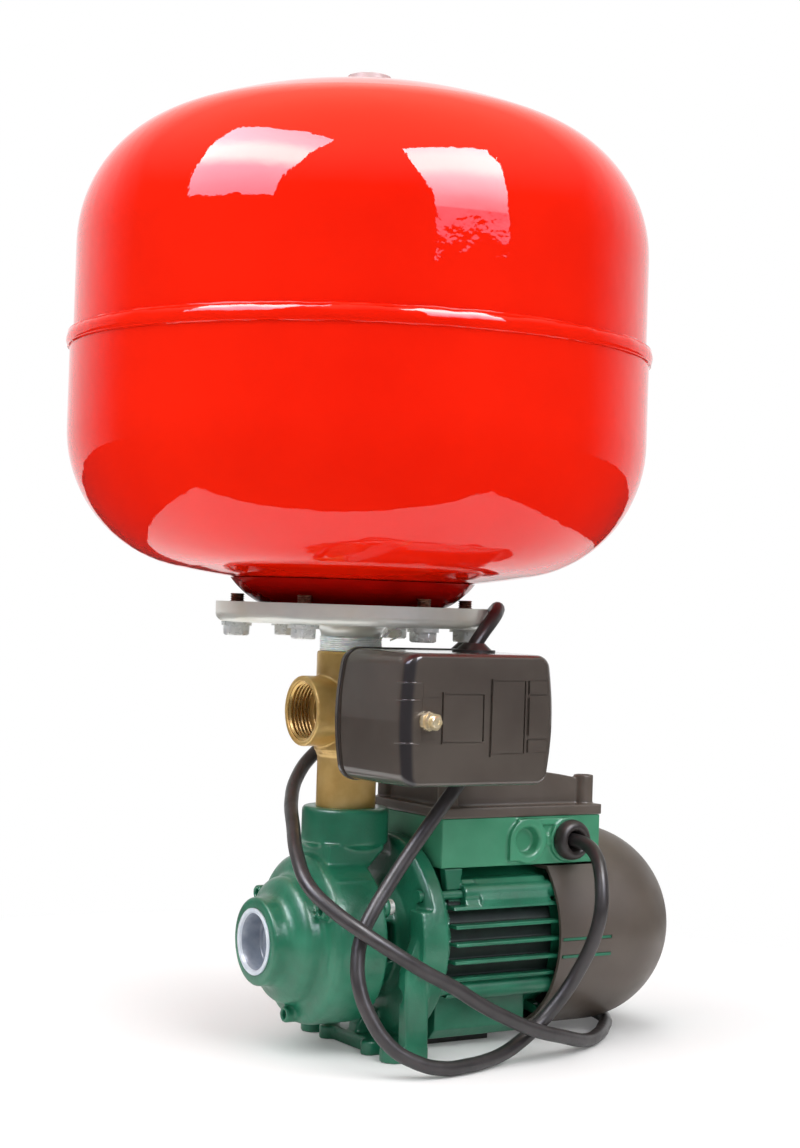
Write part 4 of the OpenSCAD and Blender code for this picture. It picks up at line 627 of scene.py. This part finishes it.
low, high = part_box("thread_tape")
tape_h = high[2] - low[2]
rows = 22
profile = [(0.01662, tape_h), (0.01662, 0.0)]
profile += [(0.0173 + 0.0003 * (k % 3), tape_h * k / rows) for k in range(rows + 1)]
me = lathe(profile, 120, tape_wave)
me.transform(Matrix.Translation(TANK + Vector((0, 0, low[2]))))
add("sealing_tape", me, tape, "pump_set", ("thread_tape",))


strand = mm([[-3, -16.6, 231], [1.5, -17.4, 234.5], [5.5, -18.5, 237.3], [10.5, -19, 238.6],
             [12.4, -18.6, 236.5], [9.5, -17.8, 233.6], [6, -16.6, 232]])
tube("tape_strand", strand, 0.0009, tape, 2, 6)


# Castings with soft edges
def block(low, high):
    """A box between two corners in mm."""
    bm = bmesh.new()
    bmesh.ops.create_cube(bm, size=1)
    for v in bm.verts:
        v.co = Vector([(low[k] + high[k]) / 2 + v.co[k] * (high[k] - low[k]) for k in range(3)]) * MM
    return mesh_of(bm, "block")


def turned(profile, at, toward, steps=64):
    """Lathe of (r, z) in mm about an axis from a point at, in mm."""
    return place(lathe([(r * MM, z * MM) for r, z in profile], steps), Vector(at) * MM, toward)


def loft(sections):
    """A closed skin over rings of points, all of one count."""
    bm = bmesh.new()
    rings = [[bm.verts.new(p) for p in s] for s in sections]
    n = len(rings[0])
    for a, b in zip(rings, rings[1:]):
        for k in range(n):
            j = (k + 1) % n
            bm.faces.new((a[k], a[j], b[j], b[k]))
    bm.faces.new(rings[-1])
    bm.faces.new(list(reversed(rings[0])))
    bmesh.ops.recalc_face_normals(bm, faces=bm.faces)
    return mesh_of(bm, "loft")


BLANK = (87, -45, 118.7)
ENTRY = (116, -45, 118.7)
FRONT = (0, -1, 0)
cast_copy("pump_casing", green, 0.0009, 7, 0.6)
cast_copy("motor_bracket", green, 0.0009, 6, 0.6)
# The housing: a smooth shoulder under the terminal box, and painted shade in the valleys between the fins
SHAFT_Z, VALLEY_SHADE_R = 0.063, 0.0489
side = ((-30, 83.5), (-50.6, 83.5), (-50.2, 87), (-48.6, 90.5), (-46, 94), (-41.5, 98), (-30, 98))
shoulder = loft([mm([(x, y, z) for y, z in side]) for x in (52, 99)])
housing = cast_copy("motor_housing", green, 0.0006, 1, 0.5, [shoulder])
housing.data.materials.append(valley_shade.m)
# Painted shade: faces near the shaft between the fins get the dark material
for f in housing.data.polygons:
    c = f.center
    r = Vector((c.y, c.z - SHAFT_Z)).length
    f.material_index = 1 if r < VALLEY_SHADE_R and 0.0335 < c.x < 0.1035 and abs(c.z - SHAFT_Z) < 0.031 else 0
cast_copy("five_way_fitting", brass, 0.0007, 5, 0.6)
cast_copy("terminal_box", box_green, 0.0007, 2, 0.4,
          [turned([(0, -7.8), (9.8, -7.8), (9.8, -1), (0, -1)], BLANK, FRONT),
           block((74.1, -45, 107.5), (80, -41.5, 118.7)), block((80, -44.2, 127.6), (116, -41.5, 131.4))],
          join("holes", [turned([(0, -6.8), (7.3, -6.8), (7.9, -1.2), (9.4, 1), (0, 1)], BLANK, FRONT)]))
cast_copy("terminal_box_lid", satin, 0.0008, 2, 0.5)

# Grommet: a thick rubber ring round the cord
ring = [(8.9, -5), (8.9, 0.1), (11.3, 0.2), (11.7, 1.4), (11.7, 3.2), (11.2, 5.4), (10.0, 7.1), (8.4, 7.9),
        (7.0, 7.7), (6.0, 6.6), (5.6, 4.6), (5.3, 2.4), (4.2, 1.0), (4.2, -5)]
add("entry_grommet", turned(ring, ENTRY, FRONT, 72), rubber, "pump_set", ("box_grommet",))

# Transport plug: pale rim, and its hollow cup painted darker as shade
cup = [(18.5, 0.0), (18.5, 0.7), (18.2, 1.1), (17.3, 1.25), (16.4, 1.15), (15.9, 0.7), (15.7, -0.4),
       (14.8, -1.0), (14.5, -4), (14.1, -10.4), (13.5, -11.4), (10.6, -11.4), (10.0, -10.4), (9.0, -10.4),
       (8.5, -11.5), (0.01, -11.5), (0.01, -12.6), (15.2, -12.9), (16.3, -11.5), (16.45, 0.0)]
me = turned(cup, (-66, 0, 63), (-1, 0, 0), 96)
add("transport_plug", me, milky, nodes["suction_plug"]["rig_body"], ("suction_plug",))
# Painted shade: faces inside the cup get the darker material
me.materials.append(plug_shade.m)
for f in me.polygons:
    c = f.center
    f.material_index = 1 if c.x > -0.0658 and Vector((c.y, c.z - SHAFT_Z)).length < 0.0156 else 0


# Switch cover, in mm: bowed flanks, soft corners, a lip at its back and bare raised panels
COVER_X, COVER_Z, HALF_W, HALF_H, FRONT_Y, ROUND = 10, 192.2, 47, 35.9, -104.5, 6


def cover_ring(y, ix, iz, bow_l=4.2, bow_r=3.6):
    """One section of the cover at a depth, inset by ix and iz from its full size."""
    w, h = HALF_W - ix, HALF_H - iz
    r = max(8 - 0.5 * (ix + iz), 0.8)
    pts = []
    for k, (sx, sz) in enumerate(((1, 1), (-1, 1), (-1, -1), (1, -1))):
        for i in range(9):
            a = math.radians(90 * k + 90 * i / 8)
            pts.append((sx * (w - r) + r * math.cos(a), sz * (h - r) + r * math.sin(a)))
        nx, nz = ((-1, 1), (-1, -1), (1, -1), (1, 1))[k]
        a = math.radians(90 * (k + 1))
        x0, z0 = pts[-1]
        x1, z1 = nx * (w - r) + r * math.cos(a), nz * (h - r) + r * math.sin(a)
        pts += [(x0 + (x1 - x0) * i / 16, z0 + (z1 - z0) * i / 16) for i in range(1, 16)]
    out = []
    for x, z in pts:
        bow = (bow_l if x < 0 else bow_r) * math.cos(math.pi / 2 * min(1, abs(z) / h)) * abs(x) / w
        out.append(Vector((COVER_X + x + math.copysign(bow, x), y, COVER_Z + z)) * MM)
    return out


sections = [cover_ring(-99, 12, 10), cover_ring(-97, 5, 4.5), cover_ring(-39.6, 2.6, 2.6),
            cover_ring(-39.5, 2.6, 2.6), cover_ring(-39.5, -0.6, -0.3), cover_ring(-39.8, -1.0, -0.6),
            cover_ring(-42.2, -1.0, -0.6), cover_ring(-42.6, -0.6, -0.3), cover_ring(-42.7, 1.0, 0.6),
            cover_ring(-43.5, 1.0, 0.6), cover_ring(-43.8, 0.2, 0.0)]
sections += [cover_ring(y, 0.2 + 0.8 * t, 0.6 * t, 4.2 - 1.8 * t) for t, y in
             ((0.2, -54), (0.4, -66), (0.6, -78), (0.8, -89), (0.95, -96))]
for deg in range(0, 91, 10):
    t = math.radians(deg)
    sections.append(cover_ring(FRONT_Y + ROUND * (1 - math.sin(t)), 1 + ROUND * (1 - math.cos(t)),
                               0.6 + 2.6 * (1 - math.cos(t)), 2.4 - 0.6 * math.sin(t)))
sections += [cover_ring(FRONT_Y - 0.02 * k, 7 + 6 * k, 3.2 + 5 * k, 1.8 - 0.3 * k, 3.6 - 0.6 * k)
             for k in range(1, 6)]
cover_mesh = loft(sections)


def groove(x0, z0, x1, z1, w, depth):
    """A groove on the cover's front between two points."""
    a, b = Vector((x0, 0, z0)), Vector((x1, 0, z1))
    d = (b - a).normalized() * 0.5
    n = Vector((-d.z, 0, d.x)) * w
    pts = [a - d * w + n, b + d * w + n, b + d * w - n, a - d * w - n]
    bm = bmesh.new()
    rows = [[bm.verts.new(Vector((q.x, y, q.z)) * MM) for q in pts] for y in (FRONT_Y - 3, FRONT_Y + depth)]
    for k in range(4):
        j = (k + 1) % 4
        bm.faces.new((rows[0][k], rows[0][j], rows[1][j], rows[1][k]))
    bm.faces.new(rows[0])
    bm.faces.new(list(reversed(rows[1])))
    bmesh.ops.recalc_face_normals(bm, faces=bm.faces)
    return mesh_of(bm, "groove")


def carve(mesh, tools, operation="DIFFERENCE"):
    """A mesh with tools cut out of it or joined to it."""
    o = link("carve", mesh)
    return baked(o, boolean(o, join("tools", tools), operation))


# Panels as (x0, z0, x1, z1, front), grooves as (x0, z0, x1, z1, width, depth)
panels = [(-14.4, 181.0, 10.9, 205.6, -104.95), (16.9, 174.6, 38.0, 213.0, -104.95),
          (40.9, 175.2, 53, 181.6, -104.95), (40.9, 182.4, 54.5, 205.6, -104.95),
          (40.9, 206.4, 53, 213.6, -104.95), (-27.4, 182.4, -15.3, 204.0, -104.75),
          (-27.0, 204.4, -17.1, 211.9, -104.75)]
grooves = [(-14.4, 206.0, 10.9, 206.0, 0.22, 0.2), (-14.4, 180.6, 10.9, 180.6, 0.22, 0.2),
           (16.9, 213.3, 38, 213.3, 0.22, 0.2), (16.9, 174.3, 38, 174.3, 0.22, 0.2),
           (-14.9, 180.4, -14.9, 206.4, 1.35, 1.0), (11.4, 181.8, 11.2, 205.3, 1.3, 1.0),
           (16.2, 173.6, 16.2, 213.6, 1.6, 1.1), (38.2, 175.2, 38.2, 212.8, 1.3, 1.0),
           (40.6, 206.6, 40.6, 213, 1.1, 1.0), (40.6, 185, 40.6, 203.4, 1.6, 1.1),
           (40.6, 175.4, 40.6, 181, 1.1, 1.0)]
raised = [block((x0, y, z0), (x1, -103, z1)) for x0, z0, x1, z1, y in panels]
carved = [groove(*g) for g in grooves]
cover_mesh = carve(cover_mesh, raised, "UNION")
stud_hole = turned([(0, -4), (3.3, -4), (3.3, 4), (0, 4)], (-24.6, -102, 192), FRONT, 32)
clip_slot = block((-46, -46.5, 179.7), (-40.6, -43.2, 202))
cover_mesh = carve(cover_mesh, carved + [stud_hole, clip_slot])
for p in cover_mesh.polygons:
    p.use_smooth = True
add("switch_cover_shell", sharp(cover_mesh, 30), gloss, "pump_set", ("switch_cover",))

# Cover nut on its stud
nut = [hex_head(0.0092, 0.0038), hex_head(0.0086, 0.0036, 0.0006)]
nut[1].transform(Matrix.Translation((0, 0, 0.0048)) @ Matrix.Rotation(0.4, 4, "Z"))
stud = lathe([(0.0, 0.003), (0.0037, 0.003), (0.0037, 0.005), (0.0031, 0.0083), (0.0031, 0.0104),
              (0.0027, 0.0109), (0.0014, 0.0109), (0.0012, 0.0104), (0.0, 0.0104)], 40)
me = place(join("nut", nut + [stud]), (-0.0246, -0.1046, 0.192), FRONT)
add("cover_nut_on_stud", sharp(me), bright, "pump_set", ("cover_nut",))

# Three fine ribs that run round the cover's left edge
ribs = []
for z in (211.9, 202.8, 180.2):
    path = []
    for deg in range(0, 91, 10):
        t = math.radians(deg)
        bow = 2.2 * math.cos(math.pi / 2 * abs(z - COVER_Z) / 35)
        path.append((COVER_X - HALF_W + 1 + ROUND * (1 - math.cos(t)) - bow,
                     FRONT_Y + ROUND * (1 - math.sin(t))))
    path = [(path[0][0] - 0.2, FRONT_Y + 9)] + path + [(path[-1][0] + 3, FRONT_Y)]
    bm = bmesh.new()
    rows = []
    for k, (x, y) in enumerate(path):
        a = path[max(k - 1, 0)]
        b = path[min(k + 1, len(path) - 1)]
        n = Vector((b[1] - a[1], -(b[0] - a[0]))).normalized()
        n = n if n.x < 0 or n.y < 0 else -n
        rows.append([bm.verts.new(Vector((x + n.x * o, y + n.y * o, z + dz)) * MM) for o, dz in
                     ((-0.5, -0.55), (0.05, -0.5), (0.28, -0.2), (0.28, 0.2), (0.05, 0.5), (-0.5, 0.55))])
    for a, b in zip(rows, rows[1:]):
        for k in range(6):
            j = (k + 1) % 6
            bm.faces.new((a[k], a[j], b[j], b[k]))
    bm.faces.new(rows[0])
    bm.faces.new(rows[-1])
    bmesh.ops.recalc_face_normals(bm, faces=bm.faces)
    ribs.append(mesh_of(bm, "rib"))
add("switch_cover_ribs", sharp(join("ribs", ribs), 50), gloss, "pump_set")


# Floor: white, fading into the backdrop, and it keeps the shadow near the set
floor_mat = Mat("floor_white", linear(244, 244, 244), 0.75)
floor_mat.bump(floor_mat.noise(60, 3), 0.0002, 0.3)
nt = floor_mat.nt
floor_rays = nt.nodes.new("ShaderNodeLightPath").outputs


def floor_math(operation, a, b=None):
    n = floor_mat.node("ShaderNodeMath")
    n.operation = operation
    for k, v in enumerate((a, b)):
        if hasattr(v, "node"):
            nt.links.new(v, n.inputs[k])
        elif v is not None:
            n.inputs[k].default_value = v
    return n.outputs["Value"]


def floor_vector(operation, *fixed):
    """A measure of the place on the floor, such as its length or its share along a direction."""
    n = floor_mat.node("ShaderNodeVectorMath")
    n.operation = operation
    nt.links.new(floor_mat.co, n.inputs[0])
    for v in fixed:
        n.inputs[1].default_value = v
    return n.outputs["Value"]


def floor_mix(share, first, second):
    """The second shader over the first by a share."""
    n = nt.nodes.new("ShaderNodeMixShader")
    for k, v in enumerate((share, first, second)):
        nt.links.new(v, n.inputs[k])
    return n.outputs["Shader"]


far_off = floor_mat.node("ShaderNodeMapRange", Value=floor_vector("LENGTH"))
seen_white = floor_math("MULTIPLY", floor_rays["Is Camera Ray"], set_range(far_off, 0.22, 0.5, 0.1, 1.0))
glow = floor_mat.node("ShaderNodeEmission", Strength=1.0).outputs["Emission"]
sheet = floor_mix(seen_white, floor_mat.p.outputs["BSDF"], glow)

# Reflections show the floor as a white sheet with dark room before and beside it
behind = floor_math("GREATER_THAN", floor_vector("DOT_PRODUCT", (0.616, 0.788, 0)), -0.235)
across = floor_vector("DOT_PRODUCT", (0.788, -0.616, 0))
beside = floor_math("LESS_THAN", floor_math("ABSOLUTE", across), 0.42)
off_sheet = floor_math("SUBTRACT", 1.0, floor_math("MULTIPLY", behind, beside))
dusk = floor_mat.node("ShaderNodeEmission", Strength=DUSK).outputs["Emission"]
room = floor_mix(floor_math("MULTIPLY", floor_rays["Is Glossy Ray"], off_sheet), sheet, dusk)
nt.links.new(room, nt.nodes["Material Output"].inputs["Surface"])
bm = bmesh.new()
bmesh.ops.create_circle(bm, cap_ends=True, segments=96, radius=3)
floor = link("floor", mesh_of(bm, "floor"))
floor.data.materials.append(floor_mat.m)
floor.location.z = -0.0002
floor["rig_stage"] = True

# Studio: white backdrop behind the set, a dim room behind the camera
world = bpy.data.worlds.new("studio")
scene.world = world
world.use_nodes = True
wt = world.node_tree
bg = wt.nodes["Background"]
bg.inputs["Color"].default_value = (1, 1, 1, 1)


def wnode(kind, operation=None, *values):
    n = wt.nodes.new(kind)
    if operation:
        n.operation = operation
    for k, v in enumerate(values):
        if hasattr(v, "node"):
            wt.links.new(v, n.inputs[k])
        elif v is not None:
            n.inputs[k].default_value = v
    return n


rays = wt.nodes.new("ShaderNodeLightPath").outputs
direction = wt.nodes.new("ShaderNodeTexCoord").outputs["Generated"]
toward_back = wnode("ShaderNodeVectorMath", "DOT_PRODUCT", direction, (0.53, 0.85, 0.0)).outputs["Value"]
backdrop = wnode("ShaderNodeMapRange", None, toward_back)
set_range(backdrop, 0.1, 1.0, ROOM_DIM, 1.0)
backdrop.interpolation_type = "SMOOTHSTEP"
height = wnode("ShaderNodeVectorMath", "DOT_PRODUCT", direction, (0.0, 0.0, 1.0)).outputs["Value"]
ceiling = wnode("ShaderNodeMapRange", None, height)
set_range(ceiling, 0.3, 1.0, 0.0, CEILING)
ceiling.interpolation_type = "SMOOTHSTEP"
warm = wnode("ShaderNodeMath", "MULTIPLY", rays["Is Glossy Ray"], ceiling.outputs["Result"]).outputs[0]
tint = wt.nodes.new("ShaderNodeMix")
tint.data_type = "RGBA"
wt.links.new(warm, tint.inputs["Factor"])
for socket, value in zip(by_type(tint.inputs, "RGBA"), ((1, 1, 1, 1), (1, 0.92, 0.55, 1))):
    socket.default_value = value
wt.links.new(by_type(tint.outputs, "RGBA")[0], bg.inputs["Color"])
overhead = wnode("ShaderNodeMath", "MAXIMUM", backdrop.outputs["Result"],
                 ceiling.outputs["Result"]).outputs[0]
reflected = wnode("ShaderNodeMath", "MULTIPLY", rays["Is Glossy Ray"], overhead).outputs[0]
seen = wnode("ShaderNodeMath", "MAXIMUM", rays["Is Camera Ray"], rays["Is Transmission Ray"]).outputs[0]
direct = wnode("ShaderNodeMath", "MAXIMUM", seen, reflected).outputs[0]
ambient = wnode("ShaderNodeMath", "MULTIPLY", rays["Is Diffuse Ray"], AMBIENT).outputs[0]
wt.links.new(wnode("ShaderNodeMath", "MAXIMUM", direct, ambient).outputs[0], bg.inputs["Strength"])


LIT_CENTRE = Vector((-0.01, 0, 0.40))


def lamp(name, az, el, dist, width, height, power, diffuse=True, glossy=True, fade=()):
    """Soft box seen from the tank at an azimuth from -Y towards +X and an elevation.

    fade gives its colours from its bottom to its top."""
    a, e = math.radians(az), math.radians(el)
    d = Vector((math.sin(a) * math.cos(e), -math.cos(a) * math.cos(e), math.sin(e)))
    light = bpy.data.lights.new(name, "AREA")
    light.shape = "RECTANGLE"
    light.size, light.size_y = width, height
    light.energy = power
    o = link(name, light)
    o.location = LIT_CENTRE + dist * d
    o.rotation_euler = (-d).to_track_quat("-Z", "Y").to_euler()
    o.visible_glossy = glossy
    o.visible_diffuse = diffuse
    if fade:
        light.use_nodes = True
        lt = light.node_tree
        z = lt.nodes.new("ShaderNodeSeparateXYZ")
        lt.links.new(lt.nodes.new("ShaderNodeNewGeometry").outputs["Position"], z.inputs[0])
        span = lt.nodes.new("ShaderNodeMapRange")
        lt.links.new(z.outputs["Z"], span.inputs["Value"])
        half = height / 2 * math.cos(e)
        ramp = lt.nodes.new("ShaderNodeValToRGB")
        lt.links.new(set_range(span, o.location.z - half, o.location.z + half), ramp.inputs["Fac"])
        lt.links.new(set_ramp(ramp, fade), lt.nodes["Emission"].inputs["Color"])


# Two windows light the set, and their panes show in the enamel
lamp("soft_left", -86, 46, 1.95, 2.4, 1.6, 40, glossy=False)
lamp("soft_right", 12, 34, 1.95, 1.6, 1.6, 27, glossy=False)
lamp("soft_top", 0, 88, 1.6, 1.4, 1.4, 22, glossy=False)
lamp("pane_left", -83, 41, 1.88, 1.25, 1.6, 110, diffuse=False,
     fade=[(0.0, (0.27, 0.27, 0.36)), (0.4, (0.46, 0.46, 0.58)), (0.55, (1, 1, 1)), (0.68, (1, 1, 1)),
           (0.8, (0.62, 0.62, 0.74)), (1.0, (0.5, 0.48, 0.6))])
lamp("pane_right", 10, 33.0, 1.88, 1.0, 1.52, 90, diffuse=False,
     fade=[(0.0, (0.1, 0.1, 0.14)), (0.28, (0.42, 0.42, 0.5)), (0.5, (0.64, 0.64, 0.72)),
           (0.66, (1, 1, 1)), (0.85, (1, 1, 1)), (1.0, (0.82, 0.8, 0.88))])

low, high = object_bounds()
